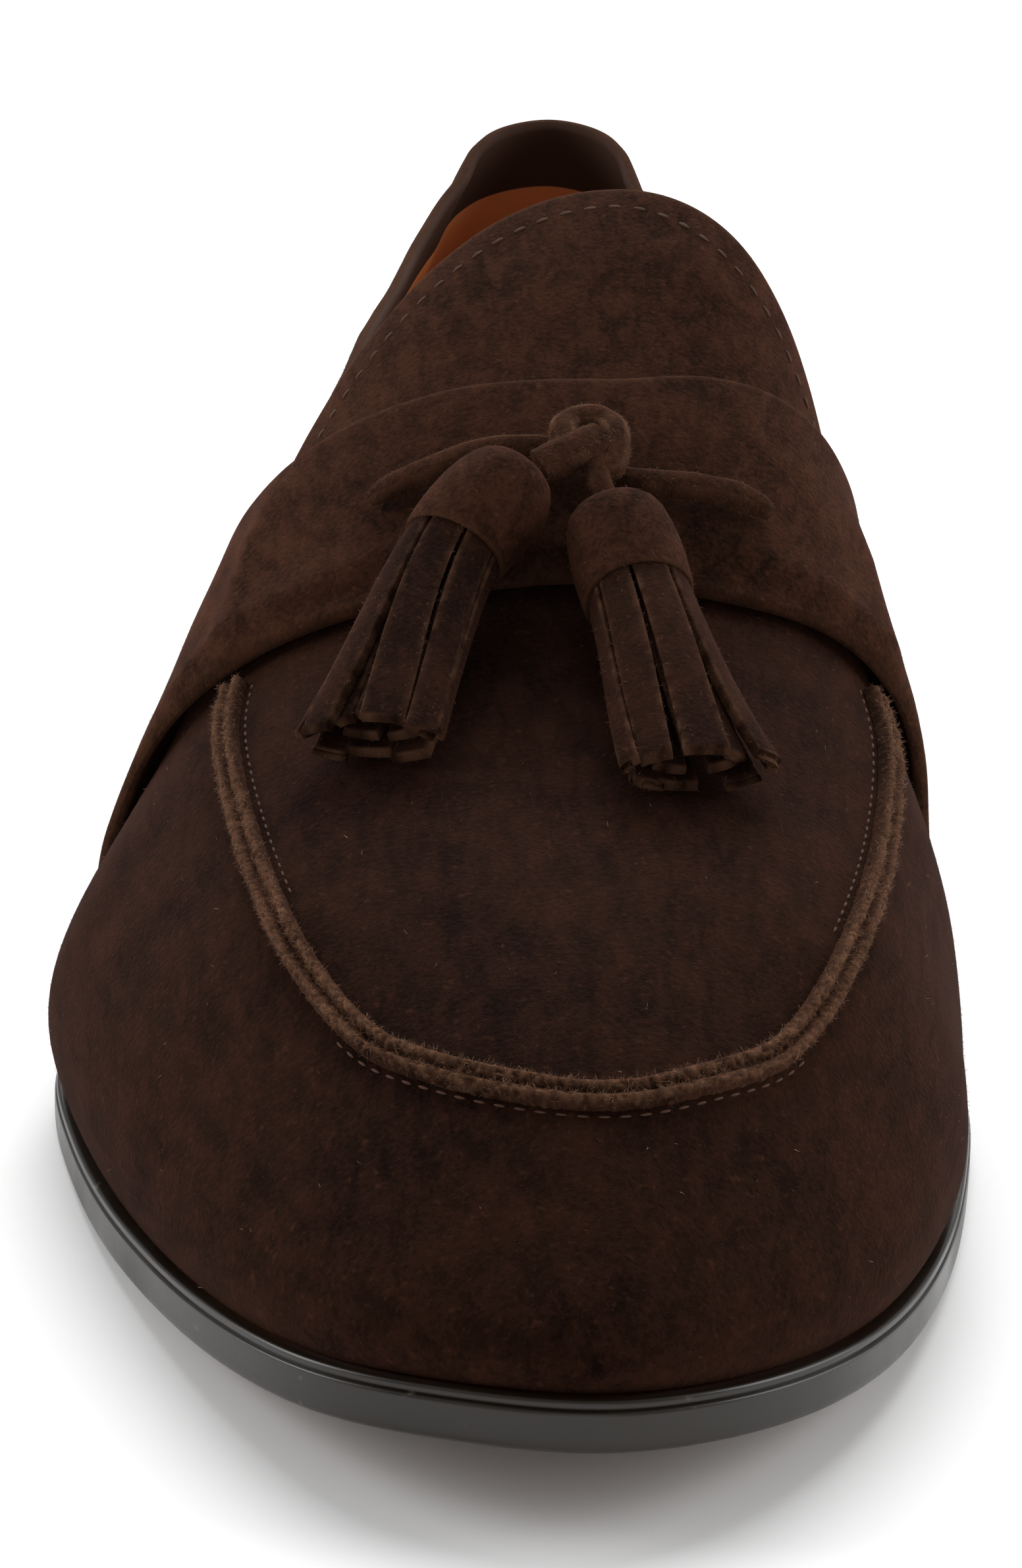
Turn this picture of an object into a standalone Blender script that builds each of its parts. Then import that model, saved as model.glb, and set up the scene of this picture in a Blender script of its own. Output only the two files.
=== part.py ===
"""Right tassel loafer in suede, built piece by piece at its real size.

The shoe stands on its sole, its toe towards -Y and its medial side towards +X. Lengths are in metres.
"along" is the distance from the toe's tip towards the heel, "side" is -1 on the lateral side and +1 on
the medial side, and "climb" runs up a section of the last, from 0 at its lower edge to 1 at its ridge.
"""

import math

import bmesh
import bpy
import numpy as np

# Sizes of the sole and heel.
SOLE_LENGTH = 0.298
BALL_WIDTH = 0.104
SOLE_THICKNESS = 0.0055
TOE_SPRING = 0.009
HEEL_HEIGHT = 0.020
HEEL_INSET = 0.001
HEEL_TAPER = 0.0015
EDGE_LEDGE = 0.0005
EDGE_ROUND = 0.0007

# Sizes of the last and the upper.
INSTEP_RISE = 0.071
UPPER_WALL = 0.002
UPPER_INSET = 0.0035
INSOLE_THICKNESS = 0.003
GAP = 0.0003

# Sizes of the tongue, the saddle and the raised seam.
TONGUE_THICKNESS = 0.0018
TONGUE_GAP = 0.0005
SADDLE_THICKNESS = 0.0018
SADDLE_GAP = 0.0005
SEAM_WIDTH = 0.0030
SEAM_HEIGHT = 0.0014

# Sizes of the lace, its knot and the two tassels.
LACE_WIDTH = 0.0032
LACE_HEIGHT = 0.0028
STEM_WIDTH = 0.0030
TASSEL_LENGTH = 0.045
CAP_WIDTH = 0.0122
STRIP_THICKNESS = 0.0014

# Numbers of divisions.
FRONT_ROWS = 23
REAR_ROWS = 23
CLIMB_STEPS = 10
SOLE_STATIONS = 48
HEEL_STATIONS = 22
INSOLE_STATIONS = 40
TONGUE_WAYS = 24
TONGUE_STEPS = 9
SADDLE_WAYS = 32
SADDLE_STEPS = 6
SEAM_STATIONS = 30
CORD_SIDES = 10
OUTLINE_POINTS = 2400
CURVE_STEPS = 60
LACE_POINTS = 21
LOOP_POINTS = 22
STEM_POINTS = 6
TASSEL_POINTS = 60


def columns(names, rows):
    """A table as one array for each of its named columns."""
    return dict(zip(names, np.array(rows, float).T))


# The sole's outline: a row for each place along it. Along is a share of the sole's length, and both sides
# are shares of the ball width.
SOLE_OUTLINE = columns(
    ("along", "lateral", "medial"),
    [
        (0.007, -0.070, 0.116),
        (0.027, -0.183, 0.198),
        (0.067, -0.281, 0.292),
        (0.134, -0.380, 0.378),
        (0.201, -0.454, 0.429),
        (0.268, -0.508, 0.462),
        (0.325, -0.535, 0.474),
        (0.400, -0.502, 0.434),
        (0.480, -0.440, 0.388),
        (0.570, -0.392, 0.332),
        (0.660, -0.368, 0.289),
        (0.750, -0.343, 0.283),
        (0.840, -0.329, 0.298),
        (0.915, -0.298, 0.282),
        (0.965, -0.212, 0.207),
        (0.992, -0.101, 0.101),
    ],
)
TOE_TIP = 0.055
HEEL_TIP = 0.010

# The heel starts at its breast, a share of the sole's length. Its rings are shares of its height.
HEEL_BREAST = 0.755
HEEL_RINGS = (0.0, 0.3, 0.32, 1.0)

# How the sole's underside lifts off the ground: shares of the toe spring and of the heel's height.
SOLE_LIFT = columns(
    ("along", "toe", "heel"),
    [
        (0.000, 1.00, 0.00),
        (0.050, 0.70, 0.00),
        (0.100, 0.46, 0.00),
        (0.150, 0.27, 0.00),
        (0.200, 0.125, 0.00),
        (0.250, 0.03, 0.00),
        (0.285, 0.00, 0.00),
        (0.385, 0.00, 0.00),
        (0.440, 0.00, 0.05),
        (0.520, 0.00, 0.24),
        (0.600, 0.00, 0.50),
        (0.680, 0.00, 0.75),
        (0.755, 0.00, 0.93),
        (0.830, 0.00, 1.00),
        (1.000, 0.00, 1.00),
    ],
)

# The sole's edge from its underside up: height is a share of its thickness, and inset is in metres.
SOLE_EDGE = columns(
    ("height", "inset"),
    [
        (0.00, EDGE_ROUND),
        (0.10, 0.25 * EDGE_ROUND),
        (0.28, 0.0),
        (0.76, 0.0),
        (0.80, EDGE_LEDGE),
        (1.00, EDGE_LEDGE),
    ],
)

# The insole's edge from its underside up: height is a share of its thickness, and inset is in metres.
INSOLE_EDGE = columns(
    ("height", "inset"),
    [
        (0.0, 0.0),
        (0.8, 0.0),
        (1.0, 0.0006),
    ],
)

# Sections of the last. Ridge is the height over the sole as a share of the instep's rise, lean is how far
# the ridge lies towards the medial side, and a side's swell is how far its wall stands out over the lower
# edge, as shares of the ball width. A side's square is 2 for an ellipse and more for a boxier section.
LAST = columns(
    ("along", "ridge", "lean", "lateral_square", "medial_square", "lateral_swell", "medial_swell"),
    [
        (0.000, 0.246, 0.050, 2.40, 2.40, 0.022, 0.022),
        (0.070, 0.370, 0.050, 2.50, 2.50, 0.026, 0.026),
        (0.185, 0.540, 0.050, 2.85, 3.20, 0.033, 0.033),
        (0.285, 0.662, 0.048, 2.60, 3.10, 0.042, 0.014),
        (0.365, 0.771, 0.045, 2.45, 3.20, 0.020, 0.014),
        (0.450, 0.990, 0.050, 2.45, 3.10, 0.004, 0.018),
        (0.550, 1.168, 0.080, 2.30, 3.60, 0.016, 0.024),
        (0.650, 1.205, 0.045, 1.90, 2.30, 0.026, 0.026),
        (0.780, 1.100, 0.016, 1.70, 1.75, 0.030, 0.030),
        (0.900, 1.000, 0.008, 1.65, 1.65, 0.034, 0.034),
        (0.960, 0.960, 0.008, 2.20, 2.20, 0.032, 0.032),
        (1.000, 0.937, 0.008, 3.20, 3.20, 0.030, 0.030),
    ],
)

# Sections fan out round a centre in the toe and one in the heel, and swell most low on the wall.
TOE_CENTRE = 0.168
HEEL_CENTRE = 0.893
CENTRE_BLEND = 0.04
SWELL_PEAK = 1.3

# The opening's edge, from the throat under the saddle to the heel: a share of the ridge's height.
TOPLINE = columns(
    ("along", "height"),
    [
        (0.395, 1.000),
        (0.430, 0.950),
        (0.470, 0.870),
        (0.510, 0.780),
        (0.550, 0.700),
        (0.600, 0.640),
        (0.700, 0.600),
        (0.800, 0.645),
        (0.850, 0.715),
        (0.913, 0.810),
        (1.000, 0.930),
    ],
)
THROAT = 0.395

# The tongue, from its root under the saddle to its rounded end. Across runs from -1 at the lateral lower
# edge of a section, over the ridge at 0, to 1 at the medial lower edge. Along and end are shares of the
# sole's length.
TONGUE_ROOT = 0.385
TONGUE_SHOULDER = 0.460
TONGUE_END = 0.553
TONGUE_LATERAL = 0.50
TONGUE_MEDIAL = 0.58
TONGUE_WAIST = 0.80
TONGUE_ROUNDNESS = 1.85

# The saddle's two edges, from its lateral foot over the ridge to its medial foot.
SADDLE = columns(
    ("across", "front", "rear"),
    [
        (-1.00, 0.395, 0.500),
        (-0.75, 0.378, 0.480),
        (-0.50, 0.366, 0.458),
        (-0.25, 0.360, 0.449),
        (0.00, 0.363, 0.447),
        (0.25, 0.360, 0.455),
        (0.50, 0.368, 0.470),
        (0.75, 0.380, 0.485),
        (1.00, 0.395, 0.500),
    ],
)

# The saddle's feet end at this reach. It climbs onto the tongue just ahead of the tongue's root, and comes
# down again beside it, past the shoulder.
SADDLE_REACH = 0.965
SADDLE_RAMP = 0.025
RAMP_RUN = 0.0225
SADDLE_SHOULDER = 0.53
SADDLE_FALL = 0.25

# The raised seam round the apron: how far out it lies in a section, as shares of each side's width.
SEAM = columns(
    ("along", "lateral", "medial"),
    [
        (0.000, 0.590, 0.590),
        (0.030, 0.620, 0.620),
        (0.080, 0.680, 0.690),
        (0.165, 0.705, 0.745),
        (0.260, 0.710, 0.785),
        (0.370, 0.715, 0.800),
    ],
)
SEAM_END = 0.358

# The seam's section: two ridges with a groove between them, as shares of its width and height.
SEAM_PROFILE = columns(
    ("width", "height"),
    [
        (-0.50, 0.00),
        (-0.46, 0.72),
        (-0.24, 1.00),
        (0.00, 0.60),
        (0.24, 1.00),
        (0.46, 0.72),
        (0.50, 0.00),
    ],
)

# The lace's bars over the saddle, from slit to slit: lift is the height of its lower side over the saddle,
# as a share of its own height.
LACE = columns(
    ("along", "across", "lift", "girth"),
    [
        (0.4045, -0.285, 0.12, 0.55),
        (0.4050, -0.265, 0.14, 0.85),
        (0.4075, -0.220, 0.16, 1.00),
        (0.4125, -0.130, 0.18, 1.00),
        (0.4120, -0.060, 0.16, 0.92),
        (0.4040, 0.010, 0.14, 0.88),
        (0.3990, 0.070, 0.14, 0.95),
        (0.3985, 0.150, 0.20, 1.00),
        (0.3985, 0.240, 0.18, 1.00),
        (0.3975, 0.280, 0.14, 0.85),
        (0.3970, 0.300, 0.12, 0.55),
    ],
)

# The knot's round loop and its two stems: lift is the height of the middle over the saddle, in widths of
# the stem.
LOOP = columns(
    ("along", "across", "lift"),
    [
        (0.3990, -0.012, 1.90),
        (0.4050, -0.038, 1.85),
        (0.4125, -0.047, 1.70),
        (0.4185, -0.035, 1.35),
        (0.4205, -0.008, 1.25),
        (0.4180, 0.018, 1.35),
        (0.4110, 0.036, 1.75),
        (0.4030, 0.038, 1.90),
        (0.3955, 0.028, 1.90),
        (0.3950, 0.005, 1.90),
    ],
)
LEFT_STEM = columns(
    ("along", "across", "lift"),
    [
        (0.4060, 0.004, 2.00),
        (0.4010, -0.020, 2.10),
        (0.3965, -0.046, 2.15),
    ],
)
RIGHT_STEM = columns(
    ("along", "across", "lift"),
    [
        (0.4010, -0.004, 2.00),
        (0.3925, 0.000, 1.95),
        (0.3850, 0.006, 1.90),
    ],
)
LEFT_STEM_WIDE = 1.5
RIGHT_STEM_WIDE = 0.9
STEM_HIGH = 0.9

# The middle line of each tassel, from its cap's top to its fringe's end: lift is its height over the last,
# in widths of the cap.
LEFT_TASSEL = columns(
    ("along", "across", "lift"),
    [
        (0.3915, -0.090, 0.930),
        (0.3514, -0.169, 0.700),
        (0.2545, -0.277, 0.300),
    ],
)
RIGHT_TASSEL = columns(
    ("along", "across", "lift"),
    [
        (0.3750, 0.024, 0.850),
        (0.3356, 0.066, 0.560),
        (0.2301, 0.163, 0.300),
    ],
)

# A tassel's sections from its cap's top: run is a share of its length, wide and high are its full sizes
# as shares of the cap's width, and slot is how deep its strips part, in thicknesses of a strip. The last
# two rows are the hollow in the fringe's end.
FRINGE_TOP = 0.304
TASSEL = columns(
    ("run", "wide", "high", "slot"),
    [
        (0.000, 0.26, 0.24, 0.00),
        (0.022, 0.60, 0.56, 0.00),
        (0.070, 0.84, 0.80, 0.00),
        (0.150, 0.95, 0.91, 0.00),
        (0.300, 1.00, 0.96, 0.00),
        (FRINGE_TOP, 0.88, 0.84, 0.30),
        (0.450, 0.98, 0.82, 0.75),
        (0.640, 1.12, 0.72, 1.00),
        (0.820, 1.26, 0.60, 1.10),
        (1.000, 1.40, 0.50, 1.10),
        (0.930, 0.62, 0.22, 0.00),
        (0.930, 0.20, 0.08, 0.00),
    ],
)

# The strips round a fringe: turn is the middle of each, half is half its width, both in turns, and end is
# how far down the fringe it reaches.
STRIPS = columns(
    ("turn", "half", "end"),
    [
        (0.030, 0.046, 0.98),
        (0.145, 0.056, 1.00),
        (0.272, 0.058, 0.97),
        (0.400, 0.057, 1.00),
        (0.520, 0.050, 0.96),
        (0.640, 0.056, 0.99),
        (0.768, 0.058, 0.96),
        (0.896, 0.057, 1.00),
    ],
)

MATERIALS = {
    "suede": ((0.030, 0.014, 0.010), 0.95, 0.0),
    "suede_edge": ((0.075, 0.036, 0.024), 0.95, 0.0),
    "sole_leather": ((0.030, 0.022, 0.017), 0.35, 0.0),
    "lining_leather": ((0.230, 0.062, 0.016), 0.55, 0.0),
}


def clear_scene():
    for thing in list(bpy.data.objects):
        bpy.data.objects.remove(thing, do_unlink=True)


def material(name):
    """The named material, made the first time that it is asked for."""
    found = bpy.data.materials.get(name)
    if found:
        return found
    colour, roughness, metallic = MATERIALS[name]
    made = bpy.data.materials.new(name)
    made.use_nodes = True
    shader = made.node_tree.nodes["Principled BSDF"]
    shader.inputs["Base Color"].default_value = (*colour, 1.0)
    shader.inputs["Roughness"].default_value = roughness
    shader.inputs["Metallic"].default_value = metallic
    return made


def through(places, values):
    """A smooth function through a table's rows that never overshoots them."""
    places = np.asarray(places, float)
    values = np.asarray(values, float)
    steps = np.diff(places)
    slopes = np.diff(values) / steps
    tangents = np.concatenate([slopes[:1], np.zeros(len(slopes) - 1), slopes[-1:]])
    for i in range(1, len(slopes)):
        before, after = slopes[i - 1], slopes[i]
        if before * after > 0:
            first = 2 * steps[i] + steps[i - 1]
            second = steps[i] + 2 * steps[i - 1]
            tangents[i] = (first + second) / (first / before + second / after)

    def value(at):
        at = np.clip(at, places[0], places[-1])
        i = np.clip(np.searchsorted(places, at, side="right") - 1, 0, len(steps) - 1)
        t = (at - places[i]) / steps[i]
        rise = values[i + 1] - values[i]
        start = steps[i] * tangents[i]
        end = steps[i] * tangents[i + 1]
        return values[i] + t * start + t**2 * (3 * rise - 2 * start - end) + t**3 * (start + end - 2 * rise)

    return value


def closed_curve(points, count):
    """Evenly spaced points on the smooth closed curve through the given ones."""
    points = np.asarray(points, float)
    n = len(points)
    gaps = np.linalg.norm(np.roll(points, -1, axis=0) - points, axis=1)
    matrix = np.zeros((n, n))
    right = np.zeros((n, 2))
    for i in range(n):
        before, after = gaps[i - 1], gaps[i]
        matrix[i, i - 1] += after
        matrix[i, i] += 2 * (before + after)
        matrix[i, (i + 1) % n] += before
        ahead = (points[(i + 1) % n] - points[i]) / after
        behind = (points[i] - points[i - 1]) / before
        right[i] = 3 * (after * behind + before * ahead)
    tangents = np.linalg.solve(matrix, right)
    drawn = []
    for i in range(n):
        t = np.linspace(0, 1, CURVE_STEPS, endpoint=False)[:, None]
        start, end = points[i], points[(i + 1) % n]
        leave, arrive = gaps[i] * tangents[i], gaps[i] * tangents[(i + 1) % n]
        rise = end - start
        square, cube = 3 * rise - 2 * leave - arrive, leave + arrive - 2 * rise
        drawn.append(start + t * leave + t**2 * square + t**3 * cube)
    drawn = np.concatenate(drawn)
    drawn = np.vstack([drawn, drawn[:1]])
    run = np.concatenate([[0], np.cumsum(np.linalg.norm(np.diff(drawn, axis=0), axis=1))])
    even = np.linspace(0, run[-1], count, endpoint=False)
    return np.column_stack([np.interp(even, run, drawn[:, k]) for k in range(2)])


def outline_sides():
    """The sole's outline as (across, along, outward) for each side, from the toe's tip to the heel's."""
    along = SOLE_OUTLINE["along"] * SOLE_LENGTH
    lateral = np.column_stack([SOLE_OUTLINE["lateral"] * BALL_WIDTH, along])
    medial = np.column_stack([SOLE_OUTLINE["medial"] * BALL_WIDTH, along])
    toe = [(TOE_TIP * BALL_WIDTH, 0.0)]
    heel = [(HEEL_TIP * BALL_WIDTH, SOLE_LENGTH)]
    curve = closed_curve(np.vstack([toe, medial, heel, lateral[::-1]]), OUTLINE_POINTS)
    ahead = np.roll(curve, -1, axis=0) - np.roll(curve, 1, axis=0)
    outward = np.column_stack([ahead[:, 1], -ahead[:, 0]])
    outward /= np.linalg.norm(outward, axis=1)[:, None]
    start, end = curve[:, 1].argmin(), curve[:, 1].argmax()
    sides = {}
    for side in (1, -1):
        steps = np.arange(0, (side * (end - start)) % len(curve) + 1) * side + start
        rows = steps % len(curve)
        points = curve[rows].copy()
        points[:, 1] = np.maximum.accumulate(points[:, 1])
        stretch = SOLE_LENGTH / (points[-1, 1] - points[0, 1])
        points[:, 1] = (points[:, 1] - points[0, 1]) * stretch
        sides[side] = (points[:, 0], points[:, 1], outward[rows])
    return sides


# The saddle's outer face lies this far off the last where it covers the tongue.
STACK = TONGUE_GAP + TONGUE_THICKNESS + SADDLE_GAP + SADDLE_THICKNESS

# Small steps, as shares, by which directions on the last are found.
CLIMB_STEP = 0.02
SMALL_STEP = 0.004

OUTLINE = outline_sides()
MIDDLE = 0.5 * (OUTLINE[-1][0].min() + OUTLINE[1][0].max())
CENTRE = np.array([MIDDLE, 0.5 * SOLE_LENGTH, 0.0])

toe_lift = through(SOLE_LIFT["along"], SOLE_LIFT["toe"])
heel_lift = through(SOLE_LIFT["along"], SOLE_LIFT["heel"])
ridge_share = through(LAST["along"], LAST["ridge"])
lean_share = through(LAST["along"], LAST["lean"])
lateral_square = through(LAST["along"], LAST["lateral_square"])
medial_square = through(LAST["along"], LAST["medial_square"])
lateral_swell = through(LAST["along"], LAST["lateral_swell"])
medial_swell = through(LAST["along"], LAST["medial_swell"])
topline_height = through(TOPLINE["along"], TOPLINE["height"])


def underside(along):
    """Height of the sole's underside over the ground."""
    share = along / SOLE_LENGTH
    return TOE_SPRING * toe_lift(share) + HEEL_HEIGHT * heel_lift(share)


def sole_top(along):
    return underside(along) + SOLE_THICKNESS


def edge_point(side, along, inset):
    """A point of the outline on that side, set in from the sole's edge: (across, along)."""
    across, places, outward = OUTLINE[side]
    out_x = np.interp(along, places, outward[:, 0])
    out_y = np.interp(along, places, outward[:, 1])
    size = np.hypot(out_x, out_y)
    x = np.interp(along, places, across) - inset * out_x / size
    y = along - inset * out_y / size
    return x, y


def squareness(side, along):
    share = along / SOLE_LENGTH
    return np.where(side < 0, lateral_square(share), medial_square(share))


def swell(side, along):
    share = along / SOLE_LENGTH
    return BALL_WIDTH * np.where(side < 0, lateral_swell(share), medial_swell(share))


def spine(along):
    """The point under the ridge that a section runs to: (across, along)."""
    share = along / SOLE_LENGTH
    first = share - TOE_CENTRE
    share = TOE_CENTRE + 0.5 * (first + np.sqrt(first**2 + CENTRE_BLEND**2))
    second = HEEL_CENTRE - share
    share = HEEL_CENTRE - 0.5 * (second + np.sqrt(second**2 + CENTRE_BLEND**2))
    return lean_share(share) * BALL_WIDTH, share * SOLE_LENGTH


def last_points(side, along, climb):
    """Points on the outside of the upper, for arrays of side, along and climb."""
    side, along, climb = np.broadcast_arrays(side, along, climb)
    feet = zip(edge_point(-1, along, UPPER_INSET), edge_point(1, along, UPPER_INSET))
    foot_x, foot_y = [np.where(side < 0, lateral, medial) for lateral, medial in feet]
    mid = spine(along)
    square = squareness(side, along)
    angle = climb * math.pi / 2
    size = (np.cos(angle) ** square + np.sin(angle) ** square) ** (1 / square)
    reach = np.cos(angle) / size
    height = np.sin(angle) / size
    wave = np.clip(4 * angle, 0, math.pi)
    bump = np.sin(wave) * (1 + np.cos(wave)) / SWELL_PEAK
    run_x, run_y = foot_x - mid[0], foot_y - mid[1]
    run = np.hypot(run_x, run_y)
    stretch = reach + bump * swell(side, along) / run
    x = mid[0] + run_x * stretch
    y = mid[1] + run_y * stretch
    ridge = ridge_share(np.clip(y / SOLE_LENGTH, 0, 1)) * INSTEP_RISE
    z = sole_top(y) + GAP + (ridge - GAP) * height
    return np.stack([x, y, z], axis=-1)


def climb_at_height(side, along, height):
    """The climb at which a section reaches that share of the ridge's height."""
    square = squareness(side, along)
    reach = np.clip(1 - height**square, 0, 1) ** (1 / square)
    return np.arctan2(height, reach) / (math.pi / 2)


def climb_at_reach(side, along, reach):
    """The climb at which a section comes in to that share of its width."""
    square = squareness(side, along)
    height = np.clip(1 - reach**square, 0, 1) ** (1 / square)
    return np.arctan2(height, reach) / (math.pi / 2)


def stations(first, last, count):
    """Places along the shoe, evenly spaced by the way round its outline."""
    across, places, _ = OUTLINE[-1]
    run = np.concatenate([[0], np.cumsum(np.hypot(np.diff(across), np.diff(places)))])
    ends = np.interp([first, last], places, run)
    made = np.interp(np.linspace(*ends, count + 1), run, places)
    made[0], made[-1] = first, last
    return made


def grid_faces(rows, across):
    """Quads of a grid of points, row by row."""
    faces = []
    for j in range(rows - 1):
        for c in range(across - 1):
            a = j * across + c
            faces.append((a, a + 1, a + across + 1, a + across))
    return faces


def merged(points, faces):
    """The mesh with points in the same place made one, and collapsed faces mended or dropped."""
    _, first, index = np.unique(np.round(points / 1e-7), axis=0, return_index=True, return_inverse=True)
    index = index.reshape(-1)
    kept = []
    for face in faces:
        ring = []
        for corner in index[list(face)]:
            if corner not in ring:
                ring.append(int(corner))
        if len(ring) > 2:
            kept.append(tuple(ring))
    return points[first], kept, first


def vertex_normals(points, faces):
    normals = np.zeros_like(points)
    for face in faces:
        corners = points[list(face)]
        middle = corners.mean(axis=0)
        turned = np.roll(corners, -1, axis=0)
        area = np.cross(corners - middle, turned - middle).sum(axis=0)
        normals[list(face)] += area
    return normals / np.linalg.norm(normals, axis=1)[:, None]


def solid(name, points, faces, material_name, sharp=50):
    """One closed mesh object from points in the shoe's own places."""
    mesh = bpy.data.meshes.new(name)
    made = bpy.data.objects.new(name, mesh)
    bpy.context.scene.collection.objects.link(made)
    body = bmesh.new()
    corners = [body.verts.new(p - CENTRE) for p in points]
    for face in faces:
        body.faces.new([corners[i] for i in face])
    bmesh.ops.remove_doubles(body, verts=body.verts, dist=1e-6)
    bmesh.ops.recalc_face_normals(body, faces=body.faces)
    body.to_mesh(mesh)
    body.free()
    mesh.shade_smooth()
    mesh.set_sharp_from_angle(angle=math.radians(sharp))
    mesh.materials.append(material(material_name))
    return made


def sheet_solid(name, points, faces, inner, outer, material_name):
    """A sheet given two faces: inner and outer are how far they lie off the points, outward."""
    points, faces, kept = merged(points, faces)
    normals = vertex_normals(points, faces)
    count = len(points)
    if np.ndim(inner):
        inner, outer = inner[kept], outer[kept]
    inner = np.broadcast_to(inner, count)[:, None]
    outer = np.broadcast_to(outer, count)[:, None]
    both = np.vstack([points + normals * outer, points + normals * inner])
    edges = {(a, b) for face in faces for a, b in zip(face, face[1:] + face[:1])}
    rim = [(a, b) for a, b in sorted(edges) if (b, a) not in edges]
    skins = list(faces) + [tuple(i + count for i in reversed(face)) for face in faces]
    skins += [(a, a + count, b + count, b) for a, b in rim]
    return solid(name, both, skins, material_name)


def layered_solid(name, rings, material_name):
    """A closed solid from rings, each with one row of points a side, from the front end to the rear."""
    points = []
    for lateral, medial in rings:
        points += [lateral, medial[::-1]]
    points = np.concatenate(points)
    rows = len(rings[0][0])
    ring = 2 * rows
    faces = []
    for k in range(len(rings) - 1):
        for i in range(ring):
            after = (i + 1) % ring
            faces.append((k * ring + i, k * ring + after, (k + 1) * ring + after, (k + 1) * ring + i))
    for base in (0, (len(rings) - 1) * ring):
        for i in range(rows - 1):
            faces.append((base + i, base + i + 1, base + ring - 2 - i, base + ring - 1 - i))
    points, faces, _ = merged(points, faces)
    return solid(name, points, faces, material_name)


def ring_at(along, inset, height):
    """Both sides of an outline at those places, set in, with heights from a function of along."""
    sides = []
    for side in (-1, 1):
        x, y = edge_point(side, along, inset)
        sides.append(np.column_stack([x, y, height(y)]))
    for end, place in ((0, 0.0), (-1, SOLE_LENGTH)):
        if along[end] == place:
            middle = 0.5 * (sides[0][end] + sides[1][end])
            sides[0][end] = sides[1][end] = middle
    return sides


def make_outsole():
    along = stations(0.0, SOLE_LENGTH, SOLE_STATIONS)
    rings = []
    for share, inset in zip(SOLE_EDGE["height"], SOLE_EDGE["inset"]):
        rings.append(ring_at(along, inset, lambda y, share=share: underside(y) + share * SOLE_THICKNESS))
    return layered_solid("outsole", rings, "sole_leather")


def make_heel():
    along = stations(HEEL_BREAST * SOLE_LENGTH, SOLE_LENGTH, HEEL_STATIONS)
    rings = []
    for share in HEEL_RINGS:
        inset = HEEL_INSET + HEEL_TAPER * (1 - share)
        rings.append(ring_at(along, inset, lambda y, share=share: share * (underside(y) - GAP)))
    return layered_solid("heel", rings, "sole_leather")


def make_insole():
    along = stations(0.0, SOLE_LENGTH, INSOLE_STATIONS)
    clear = UPPER_INSET + UPPER_WALL + 2 * GAP
    rings = []
    for share, inset in zip(INSOLE_EDGE["height"], INSOLE_EDGE["inset"]):
        lift = GAP + share * INSOLE_THICKNESS
        rings.append(ring_at(along, clear + inset, lambda y, lift=lift: sole_top(y) + lift))
    return layered_solid("insole", rings, "lining_leather")


def make_upper():
    front = stations(0.0, THROAT * SOLE_LENGTH, FRONT_ROWS)
    rear = stations(THROAT * SOLE_LENGTH, SOLE_LENGTH, REAR_ROWS)[1:]
    along = np.concatenate([front, rear])
    up = np.linspace(0, 1, CLIMB_STEPS + 1)
    sides = []
    for side in (-1, 1):
        top = np.where(
            along > THROAT * SOLE_LENGTH,
            climb_at_height(side, along, topline_height(along / SOLE_LENGTH)),
            1.0,
        )
        sides.append(last_points(side, along[:, None], up[None, :] * top[:, None]))
    lateral, medial = sides
    rows = len(along)
    points = np.concatenate([lateral, medial[:, ::-1]], axis=1)
    across = points.shape[1]
    faces = []
    for j in range(rows - 1):
        for c in range(across - 1):
            if c == CLIMB_STEPS:
                continue
            a = j * across + c
            faces.append((a, a + 1, a + across + 1, a + across))
    return sheet_solid("upper", points.reshape(-1, 3), faces, -UPPER_WALL, 0.0, "suede")


def saddle_lift(along, across):
    """How far the saddle's inner face stands off the upper: more where the tongue lies between them."""
    start = TONGUE_ROOT - SADDLE_RAMP
    ramp = np.clip((along / SOLE_LENGTH - start) / RAMP_RUN, 0, 1)
    beside = np.clip((np.abs(across) - SADDLE_SHOULDER) / SADDLE_FALL, 0, 1)
    over = (3 * ramp**2 - 2 * ramp**3) * (1 - 3 * beside**2 + 2 * beside**3)
    return SADDLE_GAP + (TONGUE_GAP + TONGUE_THICKNESS) * over


def make_tongue():
    """A sheet over the instep whose far edge is a rounded end."""
    across = np.linspace(-1, 1, TONGUE_WAYS + 1)
    ends = TONGUE_SHOULDER + (TONGUE_END - TONGUE_SHOULDER) * (
        1 - np.abs(across) ** TONGUE_ROUNDNESS
    ) ** (1 / TONGUE_ROUNDNESS)
    out = np.linspace(0, 1, TONGUE_STEPS + 1)[:, None]
    along = SOLE_LENGTH * (TONGUE_ROOT + (ends[None, :] - TONGUE_ROOT) * out)
    width = np.where(across < 0, TONGUE_LATERAL, TONGUE_MEDIAL)
    narrowed = width * (TONGUE_WAIST + (1 - TONGUE_WAIST) * out)
    climb = 1 - np.abs(across) * narrowed
    points = last_points(np.where(across < 0, -1, 1)[None, :], along, climb)
    faces = grid_faces(TONGUE_STEPS + 1, TONGUE_WAYS + 1)
    outer = TONGUE_GAP + TONGUE_THICKNESS
    return sheet_solid("tongue", points.reshape(-1, 3), faces, TONGUE_GAP, outer, "suede")


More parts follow.
